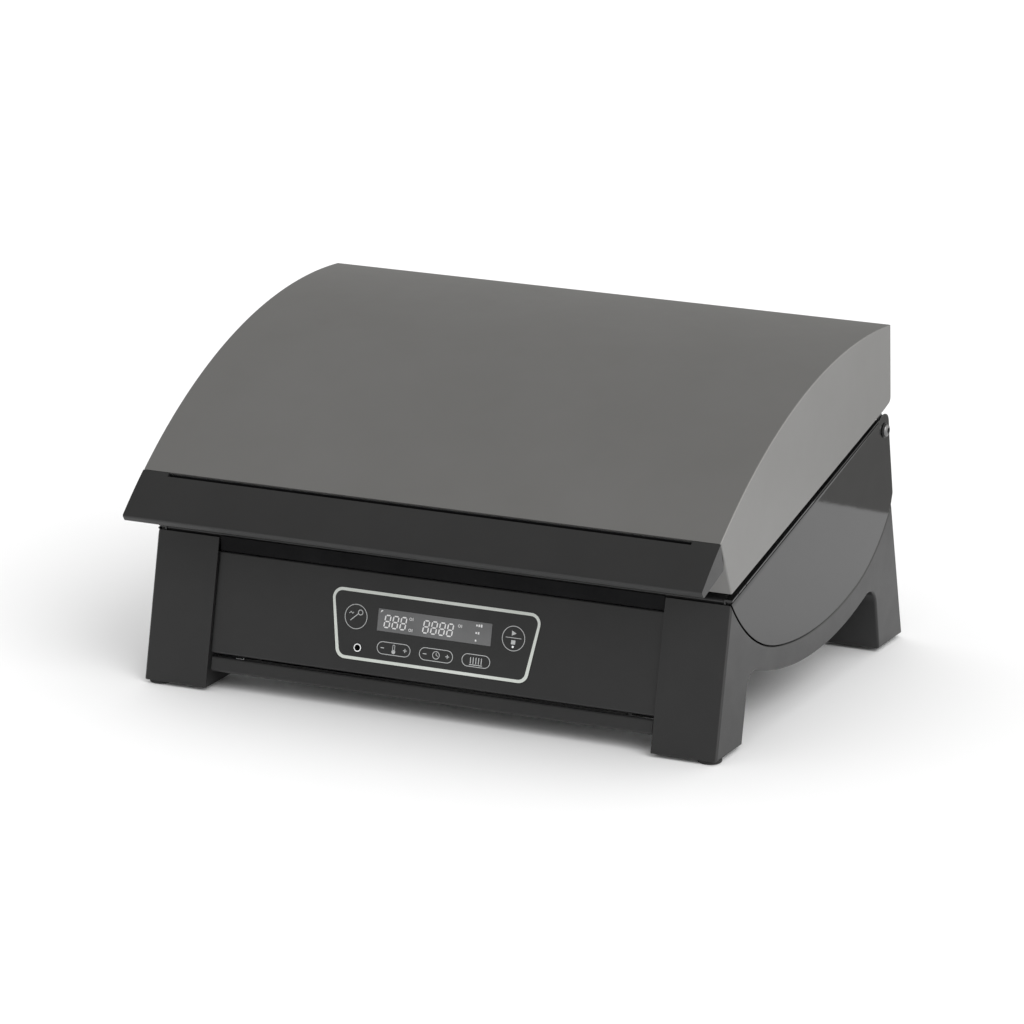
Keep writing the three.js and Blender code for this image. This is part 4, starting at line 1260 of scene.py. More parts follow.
    def build_sides(self) -> None:
        """Makes the glossy sides, the rim caps and the liners behind them."""
        site = self.site
        for side, name in SIDES:
            panel, cap, liner = sided(side, self.side(), self.cap(), self.liner())
            nicks = sided(side, *(block((site.half - self.nick_depth, y - self.nick_half, 100),
                                        (site.half + 5, y + self.nick_half, 300)) for y in self.notches))
            dress(make(f"gloss_side_{name}", panel, 24.0), SIDE_GLOSS, "body", f"firebox_side_{name}")
            strip = ease(carve(make(f"rim_cap_{name}", cap), *nicks), 0.8, 4)
            dress(strip, SIDE_GLOSS, "body", f"firebox_liner_{name}")
            dress(ease(make(f"liner_wall_{name}", liner), 0.3), LINER_STEEL, "body")

    def build_ledges(self) -> None:
        """Makes the two angles that carry the plate and the bumpers under the hood."""
        for side, name in SIDES:
            low, high = box(f"plate_ledge_{name}")
            wall, tip = (high.x, low.x) if side > 0 else (low.x, high.x)
            path = fillet([(wall - side, low.z), (wall - side, high.z, 2.4), (tip, high.z)], 5, False)
            section = fold(path if side < 0 else path[::-1], 2.0)
            angle = make(f"ledge_angle_{name}", prism(section, -high.y, -low.y, FRONT))
            dress(ease(angle, 0.3), LINER_STEEL, "body", f"plate_ledge_{name}")
            low, high = box(f"hood_bumper_{name}")
            bumper = soften(block(low, high), 1.3, 4)
            dress(make(f"soft_bumper_{name}", bumper), SILICONE, "body", f"hood_bumper_{name}")

    def build_deflector(self) -> None:
        """Makes the bent sheet that throws the heat up to the plate."""
        site, half = self.site, self.deflector_half
        path = fillet([(-128, 118), (-118, 106, 6), (0, 98, 60), (150, 106, 6), (160, 118)], 8, False)
        deflector = make("deflector", prism(fold(path, site.liner), -half, half))
        carve(deflector, prism(circle(0, site.belly.y, 14), 80, 125, FLAT))
        dress(ease(deflector, 0.3), BRIGHT_STEEL, "body", "heat_reflector")

    def build_element(self) -> None:
        """Makes the sheathed element with its rails and saddles."""
        right = [(30, 214), (30, 132), (262, 132), (262, 50), (84, 50), (84, -34), (262, -34), (262, -116)]
        low, high = box("heating_element")
        height = (high.z + low.z) / 2
        route = [(x, y, height) for x, y in right] + [(-x, y, height) for x, y in right[::-1]]
        element = self.shop.bend_tube("element_tube", route, 4.0, 30.0, ELEMENT_SHEATH, 20)
        dress(element, ELEMENT_SHEATH, "body", "heating_element")
        for name in ("left", "right"):
            rail = soften(block(*box(f"element_bracket_{name}")), 0.5, 2)
            dress(make(f"element_rail_{name}", rail), BRIGHT_STEEL, "body", f"element_bracket_{name}")
        strap = fillet([(-7.5, -4.6), (-5, -4.6), (-5, 5, 4.8), (5, 5, 4.8), (5, -4.6), (7.5, -4.6)],
                       6, False)
        saddle = soften(prism(fold(strap, 0.8), -3, 3), 0.15, 1)
        spots = [(x, y, height) for x in (-150, 150) for y in (-34, 50)]
        clips = self.shop.set_copies("element_saddles", saddle, spots, BRIGHT_STEEL)
        dress(clips, BRIGHT_STEEL, "body")

    def build_sensors(self) -> None:
        """Makes the temperature sensor's button and the cut-out's disc."""
        low, high = (corner.z for corner in box("temperature_sensor"))
        stem = [(0, low), (2.6, low), (3, low + 0.4), (3, high - 7), (4, high - 5.6), (6.6, high - 5)]
        button = [(7, high - 4.5), (7, high - 0.5), (6.5, high), (0, high)]
        sensor = lathe(stem + button, over("temperature_sensor"))
        dress(make("sensor_button", sensor), BRIGHT_STEEL, "body", "temperature_sensor")
        low, high = (corner.z for corner in box("thermal_cutout"))
        base = [(0, low), (9, low), (9, high - 2.4), (8.4, high - 1.8)]
        boss = [(7, high - 1.8), (7, high - 0.5), (6.4, high), (0, high)]
        disc = lathe(base + boss, over("thermal_cutout"))
        dress(make("cutout_disc", disc), COMPONENT, "body", "thermal_cutout")

    def build_spout(self) -> None:
        """Makes the flanged spout that drains into the tray."""
        low, high = (corner.z for corner in box("drain_spout"))
        pipe = [(7.5, low), (8.6, low), (9, low + 0.5), (9, high - 2.6), (9.8, high - 1.4)]
        flange = [(15, high - 1.2), (15, high - 0.2), (9, high - 0.2), (7.5, high - 1.6), (7.5, low)]
        spout = lathe(pipe + flange, upright(0, self.site.belly.y))
        dress(make("grease_spout", spout), BRIGHT_STEEL, "body", "drain_spout")

    def build(self) -> None:
        """Makes the whole firebox."""
        self.build_shell()
        self.build_baffle()
        self.build_sides()
        self.build_ledges()
        self.build_deflector()
        self.build_element()
        self.build_sensors()
        self.build_spout()


# ---------------------------------------------------------------- griddle plate


@dataclass
class Plate:
    """The cast cooking plate."""

    wall: float = 7.0
    corner: float = 14.0
    thick: float = 8.0

    def build(self) -> None:
        """Makes the plate with its rim, run-off channel and drain hole."""
        low, high = box("griddle_plate")
        across, along = high.x - low.x, high.y - low.y
        middle = (low.y + high.y) / 2
        floor = low.z + self.thick
        whole = rectangle(0, middle, across, along, self.corner)
        plate = make("cooking_plate", prism(whole, low.z, high.z, FLAT))
        inside = rectangle(0, middle, across - 2 * self.wall, along - 2 * self.wall, 9)
        pocket = prism(inside, floor, high.z + 5, FLAT)
        channel_y = low.y + self.wall + 12
        channel = prism(rectangle(0, channel_y, across - 44, 18, 8), floor - 3.5, high.z + 6, FLAT)
        drain = prism(circle(0, channel_y, 6, 32), low.z - 2, high.z + 7, FLAT)
        carve(plate, pocket, channel, drain)
        dress(ease(plate, 1.4, 3, 35.0, 40.0), CAST_PLATE, "griddle_plate", "griddle_plate")


# ---------------------------------------------------------------- hood


@dataclass
class Hood:
    """The seamless hood with its black handle and hinge arms."""

    site: Site
    shop: Workshop
    crown: Arc = Arc(159.5, -276.5, 627.7)
    rear_top_y: float = 216.0
    rear_bottom: tuple[float, float] = (220.5, 265.8)
    junction_y: float = -217.0
    front_bottom: tuple[float, float] = (-190.0, 167.6)
    tip_y: float = -262.6
    nose: tuple[float, float] = (-257.6, 181.6)
    heel: tuple[float, float] = (-209.9, 197.3)
    slot_half: float = 290.0
    slot: float = 5.0
    edge: float = 1.5
    arm_thick: float = 2.5
    washer_top: float = 1.3

    def crest(self, start: float, end: float, steps: int) -> Outline:
        """Returns points of the hood's arc between two y values."""
        ys = [start + (end - start) * i / steps for i in range(steps + 1)]
        return [(y, self.crown.high(y)) for y in ys]

    def build_shell(self) -> None:
        """Makes the welded shell: front, crown, rear wall and both sides in one skin."""
        half = self.site.half
        crest = self.crest(self.rear_top_y, self.junction_y, 64)
        outline = fillet([self.front_bottom, (*self.rear_bottom, 7), *crest])
        bm = prism(outline, -half, half)
        floor = [face for face in bm.faces if face.normal.z < -0.9 and face.calc_area() > 1e4]
        bmesh.ops.delete(bm, geom=floor, context="FACES_ONLY")
        soften(bm, self.edge, 4, 60.0, lambda middle: abs(middle.x) > half - 0.1)
        soften(bm, 1.8, 3, 50.0, lambda middle: abs(middle.x) < half - 1 and middle.z > 250)
        shell = thicken(make("hood_shell", bm, 24.0), self.site.sheet)
        dress(shell, HOOD_ENAMEL, "hood", "hood_skin", "hood_side_left", "hood_side_right")
        y, z = self.front_bottom
        path = fillet([(y + 14, z + 4.6), (y + 2.2, z + 1.4, 1.0), (y + 2.0, z + 4.0)], 3, False)
        lip = soften(prism(fold(path, self.site.sheet), -half + 2, half - 2), 0.3, 1, 60)
        dress(make("hood_lip", lip), HOOD_ENAMEL, "hood")

    def handle_outline(self) -> Outline:
        """Draws the handle's section: the crown carried on to a blunt nose."""
        outer = self.crest(self.junction_y - 0.6, self.tip_y, 12)
        return fillet([*outer[:-1], (*outer[-1], 2.5), (*self.nose, 2.2), (*self.heel, 2)], 5)

    def build_handle(self) -> None:
        """Makes the handle with the shadow slot along the hood, and a near-black strip inside the slot that paints its
        shade.
        """
        half = self.site.half
        bar = make("handle_wedge", prism(self.handle_outline(), -half, half))
        start = Vector((self.junction_y - 0.5, self.crown.high(self.junction_y - 0.5)))
        along = (Vector((self.tip_y, self.crown.high(self.tip_y))) - start).normalized() * self.slot
        tool = [(start.x + 9, start.y + 8), (start.x - 4, start.y + 6),
                (start.x + along.x, start.y + along.y), (start.x + along.x + 12, start.y + along.y - 13)]
        carve(bar, prism(tool, -self.slot_half, self.slot_half))
        # painted shade: a near-black, dull strip lines the hood's wall inside the slot to darken it
        junction = Vector((self.junction_y, self.crown.high(self.junction_y)))
        wall = (Vector(self.front_bottom) - junction).normalized()
        out = Vector((wall.y, -wall.x))
        top = start + wall * 1.6 + out * 0.3
        gasket = [top, top + wall * 13, top + wall * 13 + out * 0.8, top + out * 0.8]
        strip = prism([tuple(point) for point in gasket], -self.slot_half + 0.5, self.slot_half - 0.5)
        dress(make("handle_gasket", strip), SILICONE, "hood")
        nodes = ("handle_bar", "handle_cap_left", "handle_cap_right")
        dress(ease(bar, 0.7, 3, 35.0), HANDLE_BLACK, "hood", *nodes)

    def arm(self) -> BMesh:
        """Draws the right-hand hinge arm."""
        y, z = self.site.hinge.y, self.site.hinge.z
        outer = self.site.half - self.site.sheet - 0.3
        eye = [(y - 12, z - 12, 11), (y + 12, z - 12, 11), (y + 12, z + 6, 9)]
        neck, foot = [(y - 5, z + 19, 5), (y - 5, z + 30, 6)], [(y + 6, z + 62, 8), (y - 34, z + 52, 8)]
        outline = fillet([*eye, *neck, *foot, (y - 13, z + 20, 4)])
        return soften(prism(outline, outer - self.arm_thick, outer), 0.5, 2, 50.0)

    def build_arms(self) -> None:
        """Makes the hinge arms and the rivets that hold them to the hood."""
        y, z = self.site.hinge.y, self.site.hinge.z
        inner = self.site.half - self.site.sheet - 0.3 - self.arm_thick
        for side, name in SIDES:
            arm, = sided(side, self.arm())
            dress(make(f"pivot_arm_{name}", arm), LINER_STEEL, "hood", f"hinge_arm_{name}")
            head = lathe([(0, 0), (4, 0), (3.8, 0.8), (3, 1.5), (1.6, 1.9), (0, 2)],
                         plane((0, 0, 0), (0, -side, 0), (0, 0, 1)), 20)
            spots = [(side * inner, y + dy, z + dz) for dy, dz in ((-22, 46), (-2, 50), (2, 36))]
            rivets = self.shop.set_copies(f"arm_rivets_{name}", head, spots, SCREW_STEEL)
            dress(rivets, SCREW_STEEL, "hood")

    def build_pivots(self) -> None:
        """Makes the domed pivot screws with their washers and keeper nuts."""
        for side, name in SIDES:
            place, face = self.site.pivot(self.site.half), self.washer_top
            shank = [(0, -12), (3.4, -12), (3.4, face), (6.2, face), (6.6, face + 0.4), (6.6, face + 1.1)]
            dome = [(6.0, face + 2.1), (4.8, face + 2.8), (2.6, face + 3.2), (0, face + 3.3)]
            screw = lathe(shank + dome, place, 48)
            socket = prism(circle(0, 0, 3.4, 6), face + 0.5, face + 8, place)
            disc = [(3.9, 0.15), (7.4, 0.15), (7.9, 0.5), (7.9, 1.0), (7.6, 1.25), (3.9, 1.25), (3.9, 0.15)]
            washer = lathe(disc, place)
            nut = soften(ring(circle(0, 0, 7.2, 6), circle(0, 0, 4.5, 6), -7.8, -4.6, place), 0.4, 2)
            screw, socket, washer, nut = sided(side, screw, socket, washer, nut)
            bolt = carve(make(f"pivot_screw_{name}", screw), socket)
            dress(bolt, SCREW_STEEL, "body", f"hinge_screw_{name}")
            dress(make(f"pivot_washer_{name}", washer), WASHER_BLACK, "body", f"hinge_washer_{name}")
            dress(make(f"keeper_nut_{name}", nut), BRIGHT_STEEL, "body", f"hinge_nut_{name}")

    def build(self) -> None:
        """Makes the hood and what it turns on."""
        self.build_shell()
        self.build_handle()
        self.build_arms()
        self.build_pivots()


# ---------------------------------------------------------------- control front


@dataclass
class ControlFront:
    """The fascia with its touch panel, display, printed keys and probe jack."""

    site: Site
    shop: Workshop
    bottom: float = 38.5
    top: float = 141.0
    film: float = 0.15
    ink: float = 0.07
    panel: tuple[float, float, float, float] = (53.0, 125.0, 106.5, 118.0)
    outline_width: float = 3.4
    lens: tuple[float, float, float] = (127.0, 22.7, 97.1)
    jack: tuple[float, float] = (-83.0, 65.8)
    round_keys: tuple[float, float] = (88.0, 96.8)
    bar_keys: tuple[tuple[float, float], ...] = ((-42.8, 37.7), (4.7, 37.7), (49.2, 31.6))
    bar_height: float = 13.0
    bar_up: float = 69.2
    line: float = 0.65
    key_radius: float = 12.7
    digit_lean: float = 0.12

    def trapezoid(self, inset: float, corner: float) -> Outline:
        """Draws the touch panel's outline, moved inwards by inset."""
        low, high, narrow, wide = self.panel
        side = inset * 1.02
        return fillet([(-narrow + side, low + inset, corner), (narrow - side, low + inset, corner),
                       (wide - side, high - inset, corner), (-wide + side, high - inset, corner)], 12)

    def build_sheet(self) -> None:
        """Makes the fascia sheet with its folded edges and its openings."""
        site, place = self.site, self.site.front
        rise = math.cos(site.lean_angle)
        half = box("fascia")[1].x
        low, high = self.bottom / rise, self.top / rise
        path = fillet([(-7, low), (0, low, 2.2), (0, high, 2.2), (-12, high)], 6, False)
        section = fold([(up, out) for out, up in path][::-1], site.sheet)
        sheet = make("fascia_sheet", prism(section, -half, half, place @ SIDE))
        lens_w, lens_h, lens_up = self.lens
        carve(sheet,
              prism(self.trapezoid(-0.3, 11.3), -0.6, 3, place),
              prism(rectangle(0, lens_up, lens_w + 5, lens_h + 5), -6, 5, place),
              prism(circle(*self.jack, 4.7), -6, 6, place))
        dress(ease(sheet, 0.3), STAND_ENAMEL, "body", "fascia")

    def build_film(self) -> None:
        """Makes the front film and the display window."""
        place = self.site.front
        lens_w, lens_h, lens_up = self.lens
        film = make("touch_film", prism(self.trapezoid(0, 11), -0.45, self.film, place))
        carve(film, prism(rectangle(0, lens_up, lens_w + 0.5, lens_h + 0.5), -3, 3, place),
              prism(circle(*self.jack, 4.6), -3, 4, place))
        dress(ease(film, 0.12, 1), PANEL_FILM, "body", "touch_overlay")
        pane = prism(rectangle(0, lens_up, lens_w, lens_h, 0.6), -1.2, self.film, place)
        dress(make("display_window", soften(pane, 0.12, 2, 50.0)), LENS_GREY, "body", "display_lens")

    def raised(self, name: str, parts: Sequence[BMesh], finish: Finish) -> None:
        """Makes one piece of ink from several flat shapes."""
        dress(make(name, gather(*parts)), finish, "body")

    def stroke(self, points: Outline, width: float) -> BMesh:
        """Draws a flat line of ink through points."""
        return prism(fold(points, width), self.film - 0.02, self.film + self.ink, self.site.front)

    def flat(self, outline: Outline) -> BMesh:
        """Draws a flat patch of ink."""
        return prism(outline, self.film - 0.02, self.film + self.ink, self.site.front)

    def loop(self, outer: Outline, inner: Outline) -> BMesh:
        """Draws a closed line of ink."""
        return ring(outer, inner, self.film - 0.02, self.film + self.ink, self.site.front)

    def build_print(self) -> None:
        """Makes the printed outline, the key borders and their plain icons."""
        outline = self.loop(self.trapezoid(0.25, 10.8), self.trapezoid(self.outline_width, 8))
        self.raised("panel_outline", [outline], PRINT_OUTLINE)
        (x, up), line, radius = self.round_keys, self.line, self.key_radius
        borders = [self.loop(circle(middle, up, radius, 72), circle(middle, up, radius - line, 72))
                   for middle in (-x, x)]
        h = self.bar_height
        for middle, width in self.bar_keys:
            outer = rectangle(middle, self.bar_up, width, h, h / 2 - 0.01)
            inner = rectangle(middle, self.bar_up, width - 2 * line, h - 2 * line, h / 2 - line - 0.01)
            borders.append(self.loop(outer, inner))
        self.raised("key_borders", borders, PRINT_FINE)
        self.raised("key_icons", self.icons(), PRINT_FINE)
        self.raised("key_lamp_dot", [self.flat(circle(x, up - 8.4, 1.15, 20))], PRINT_WHITE)

    def icons(self) -> list[BMesh]:
        """Draws the plain icons: probe, start and stop, less and more, and the grill bars."""
        x, up = self.round_keys
        bar, thin = 0.85, 0.6
        parts = [
            self.stroke([(-x - 5.6, up - 4.6), (-x + 2.6, up + 2.8)], bar),
            self.loop(circle(-x + 4.7, up + 4.7, 2.9, 32), circle(-x + 4.7, up + 4.7, 2.9 - 0.75, 32)),
            self.stroke([(-x - 7.6, up + 2.4), (-x - 5.9, up + 4.1), (-x - 4.2, up + 2.4),
                         (-x - 2.5, up + 4.1)], thin),
            self.stroke([(x - 8.6, up + 0.3), (x + 8.6, up + 0.3)], thin),
            self.flat([(x - 2.2, up + 2.6), (x + 2.9, up + 5.2), (x - 2.2, up + 7.8)]),
            self.flat(rectangle(x, up - 3.9, 4.6, 4.2, 0.3)),
        ]
        for middle, width in self.bar_keys[:2]:
            reach = width / 2 - 6.2
            parts += [self.flat(rectangle(middle - reach, self.bar_up, 3.9, bar)),
                      self.flat(rectangle(middle + reach, self.bar_up, 3.9, bar)),
                      self.flat(rectangle(middle + reach, self.bar_up, bar, 3.9))]
        heat, clock, grill = (middle for middle, _ in self.bar_keys)
        row = self.bar_up
        parts += [
            self.loop(rectangle(heat, row + 1.1, 2.8, 7.0, 1.38),
                      rectangle(heat, row + 1.1, 1.6, 5.8, 0.78)),
            self.flat(circle(heat, row - 2.7, 2.1, 24)),
            self.loop(circle(clock, row, 4.1, 40), circle(clock, row, 3.4, 40)),
            self.stroke([(clock - 0.2, row + 2.5), (clock - 0.2, row), (clock + 2.0, row - 1.2)], thin),
        ]
        parts += [self.flat(rectangle(grill + 3.0 * k, row, 0.9, 6.6, 0.4)) for k in range(-2, 3)]
        parts.append(self.flat(rectangle(grill, row - 4.3, 14.4, 0.8, 0.3)))
        return parts

    def build_digits(self) -> None:
        """Makes the display's digits, unit marks and level marks."""
        lens_w, lens_h, lens_up = self.lens
        left = -lens_w / 2
        pitch, wide, tall, bar = 8.9, 5.7, 12.4, 1.3
        slant, place = self.digit_lean, self.site.front
        lift = self.film - 0.02

        def segment(x: float, y: float, upright: bool) -> BMesh:
            """Draws one segment about a point of the digit.

            Args:
                x: The point across the digit.
                y: The point up it.
                upright: Whether the segment stands.

            Returns:
                A closed solid.
            """
            length = (tall / 2 if upright else wide) - 1.0
            half, thin = length / 2, bar / 2
            points = [(-half, 0), (-half + thin, thin), (half - thin, thin),
                      (half, 0), (half - thin, -thin), (-half + thin, -thin)]
            if upright:
                points = [(-b, a) for a, b in points]
            leaned = [(x + a + slant * (y + b), y + b) for a, b in points]
            return prism(leaned, 0, self.ink + 0.02, facing(place))

        strokes = [segment(0, y, False) for y in (-tall / 2, 0, tall / 2)]
        strokes += [segment(x, y, True) for x in (-wide / 2, wide / 2) for y in (-tall / 4, tall / 4)]
        starts = [left + start + pitch * i for start, count in ((11.0, 3), (54.4, 4)) for i in range(count)]
        places = [place @ Vector((x, lens_up - 0.9, lift)) for x in starts]
        digits = self.shop.set_copies("display_digits", gather(*strokes), places, DIGIT_LIGHT)
        dress(digits, DIGIT_LIGHT, "body")
        marks = []
        for along, above in ((36.6, 4.6), (36.6, -6.6), (91.0, 4.6)):
            x, up = left + along, lens_up + above
            marks.append(self.loop(circle(x, up, 1.5, 20), circle(x, up, 1.0, 20)))
            marks.append(self.flat(rectangle(x + 2.6, up, 0.6, 3.0)))
        for step, up in enumerate((lens_up - 7.6, lens_up, lens_up + 7.6)):
            marks += [self.flat(rectangle(left + 110.2 + 2.6 * k, up, 1.7, 1.8 + 0.6 * k))
                      for k in range(step + 1)]
        corner = [(left + 2.6, lens_up + 7.2), (left + 5.6, lens_up + 9.6), (left + 3.4, lens_up + 9.8)]
        marks.append(self.flat(corner))
        self.raised("display_marks", marks, DIGIT_LIGHT)

    def build_jack(self) -> None:
        """Makes the probe jack, a white-lipped sleeve with a dark bore."""
        x, up = self.jack
        mouth, back, bottom = 0.9, -15.0, -13
        place = facing(self.site.front, self.site.front @ Vector((x, up, 0)))
        outside = [(0, back), (4.4, back), (4.4, 0.4), (4.2, 0.75), (3.9, mouth)]
        bore = [(3.3, mouth), (3.1, 0.6), (3.0, bottom), (0, bottom)]
        sleeve = lathe(outside + bore, place, 56)
        dress(make("jack_sleeve", sleeve), BLACK_PLASTIC, "body", "probe_socket")
        bead = [(3.15, 0.85), (4.15, 0.85), (4.15, 1.0), (3.95, 1.12),
                (3.35, 1.12), (3.15, 1.0), (3.15, 0.85)]
        dress(make("jack_lip", lathe(bead, place, 56)), PRINT_WHITE, "body")

    def build(self) -> None:
        """Makes the control front."""
        self.build_sheet()
        self.build_film()
        self.build_print()
        self.build_digits()
        self.build_jack()


# ---------------------------------------------------------------- grease tray


@dataclass
class GreaseTray:
    """The pull-out tray, its front rail and its runners."""

    site: Site
    bottom: float = 20.5
    top: float = 35.5
    corner: float = 6.0
    wall: float = 1.2
    lip: float = 7.0

    def build_pan(self) -> None:
        """Makes the pan and the two lips that it slides on."""
        low, high = box("grease_tray")
        half, wall = high.x - self.lip, self.wall
        middle, depth = (low.y + high.y) / 2, high.y - low.y
        outside = rectangle(0, middle, 2 * half, depth, self.corner)
        pan = make("tray_pan", prism(outside, low.z, high.z, FLAT))
        inside = rectangle(0, middle, 2 * half - 2 * wall, depth - 2 * wall, self.corner - wall)
        hollow = prism(inside, low.z + wall, high.z + 5, FLAT)
        carve(pan, soften(hollow, 2.4, 3, 50.0, lambda m: m.z < low.z + 2))
        dress(ease(pan, 0.4), LINER_STEEL, "grease_tray", "grease_tray")
        lips = [block((x0, low.y + 6, high.z - wall), (x1, high.y - 6, high.z))
                for x0, x1 in ((-half - self.lip, -half + 0.6), (half - 0.6, half + self.lip))]
        dress(make("tray_lips", soften(gather(*lips), 0.4, 2)), LINER_STEEL, "grease_tray")

    def build_rail(self) -> None:
        """Makes the folded rail across the tray's front."""
        site = self.site
        rise = math.cos(site.lean_angle)
        width = box("tray_front")[1].x
        foot, head = self.bottom / rise, self.top / rise
        path = fillet([(-6, foot), (0, foot, 2.6), (0, head, 2.4), (-6, head)], 6, False)
        section = fold([(up, out) for out, up in path][::-1], site.sheet)
        rail = prism(section, -width, width, site.front @ SIDE)
        dress(ease(make("tray_rail", rail), 0.4), STAND_ENAMEL, "grease_tray", "tray_front")

    def build_runners(self) -> None:
        """Makes the angles on the stands that carry the tray's lips."""
        for side, name in SIDES:
            low, high = box(f"tray_runner_{name}")
            wall, tip = (high.x, low.x) if side > 0 else (low.x, high.x)
            path = fillet([(tip, low.z), (wall, low.z, 2.2), (wall, high.z)], 5, False)
            section = fold(path if side > 0 else path[::-1], self.site.sheet)
            runner = prism(section, -high.y, -low.y, FRONT)
            angle = ease(make(f"runner_angle_{name}", runner), 0.3)
            dress(angle, LINER_STEEL, "body", f"tray_runner_{name}")

    def build(self) -> None:
        """Makes the tray, its front and the runners."""
        self.build_pan()
        self.build_rail()
        self.build_runners()


# ---------------------------------------------------------------- rear


@dataclass
class Rear:
    """The rear bar and the appliance inlet."""

    site: Site
    shop: Workshop
    low: float = 92.0
    high: float = 140.0
    inlet_x: float = -170.0
    inlet_z: float = 115.0

    def build_bar(self) -> None:
        """Makes the folded cross bar with its screws."""
        site = self.site
        half = box("rear_bar")[1].x
        y0 = site.rear_y - 3

        def at(z: float) -> float:
            """Returns the bar's y at a height."""
            return leaning(y0, site.rear_lean, z)

        top, foot = (at(self.high), self.high), (at(self.low), self.low)
        path = fillet([(top[0] - 12, top[1]), (*top, 2.4), (*foot, 2.4), (foot[0] - 14, foot[1])], 6, False)
        bar = make("cross_bar", prism(fold(path[::-1], site.sheet), -half, half))
        x, z = self.inlet_x, self.inlet_z
        carve(bar, block((x - 17.5, 200, z - 13.5), (x + 17.5, 270, z + 13.5)))
        dress(ease(bar, 0.3), STAND_ENAMEL, "body", "rear_bar")
        face = site.rear
        rise = math.cos(math.atan(-site.rear_lean))
        spots = [face @ Vector((x, z / rise, 0)) for x in (-half + 14, half - 14) for z in (104, 128)]
        screws = self.shop.set_copies("bar_screws", screw_head(3.6, 2.0, facing(face)), spots, SCREW_STEEL)
        dress(screws, SCREW_STEEL, "body")

    def build_inlet(self) -> None:
        """Makes the appliance inlet: flange, recess and three blades."""
        site = self.site
        rise = math.cos(math.atan(-site.rear_lean))
        face = site.rear
        place = facing(face, face @ Vector((-self.inlet_x, self.inlet_z / rise, 0)))
        flange = soften(prism(rectangle(0, 0, 46, 32, 3), 0.3, 2.6, place), 0.6, 3, 50.0)
        body = prism(rectangle(0, 0, 34, 26, 3), -22, 1.4, place)
        inlet = make("inlet_body", body)
        plate = make("inlet_flange", flange)
        recess = fillet([(-12.5, -8.5, 2), (12.5, -8.5, 2), (12.5, 4.5, 2),
                         (8.5, 8.5, 1), (-8.5, 8.5, 1), (-12.5, 4.5, 2)])
        carve(inlet, prism(recess, -16, 4, place))
        carve(plate, prism(recess, -3, 5, place))
        dress(ease(inlet, 0.25), BLACK_PLASTIC, "body", "power_inlet")
        dress(ease(plate, 0.3, 2, 60.0), BLACK_PLASTIC, "body")
        turned = facing(face)
        blade = soften(prism(rectangle(0, 0, 2, 4.6), 0, 13, turned), 0.4, 2)
        spots = [place @ Vector((x, y, -16.5)) for x, y in ((-7, -2), (0, 3.2), (7, -2))]
        dress(self.shop.set_copies("inlet_blades", blade, spots, BRIGHT_STEEL), BRIGHT_STEEL, "body")
        heads = [place @ Vector((x, 0, 2.5)) for x in (-19.6, 19.6)]
        screws = self.shop.set_copies("inlet_screws", screw_head(2.4, 1.2, turned), heads, SCREW_STEEL)
        dress(screws, SCREW_STEEL, "body")

    def build(self) -> None:
        """Makes the rear pieces."""
        self.build_bar()
        self.build_inlet()


# ---------------------------------------------------------------- studio


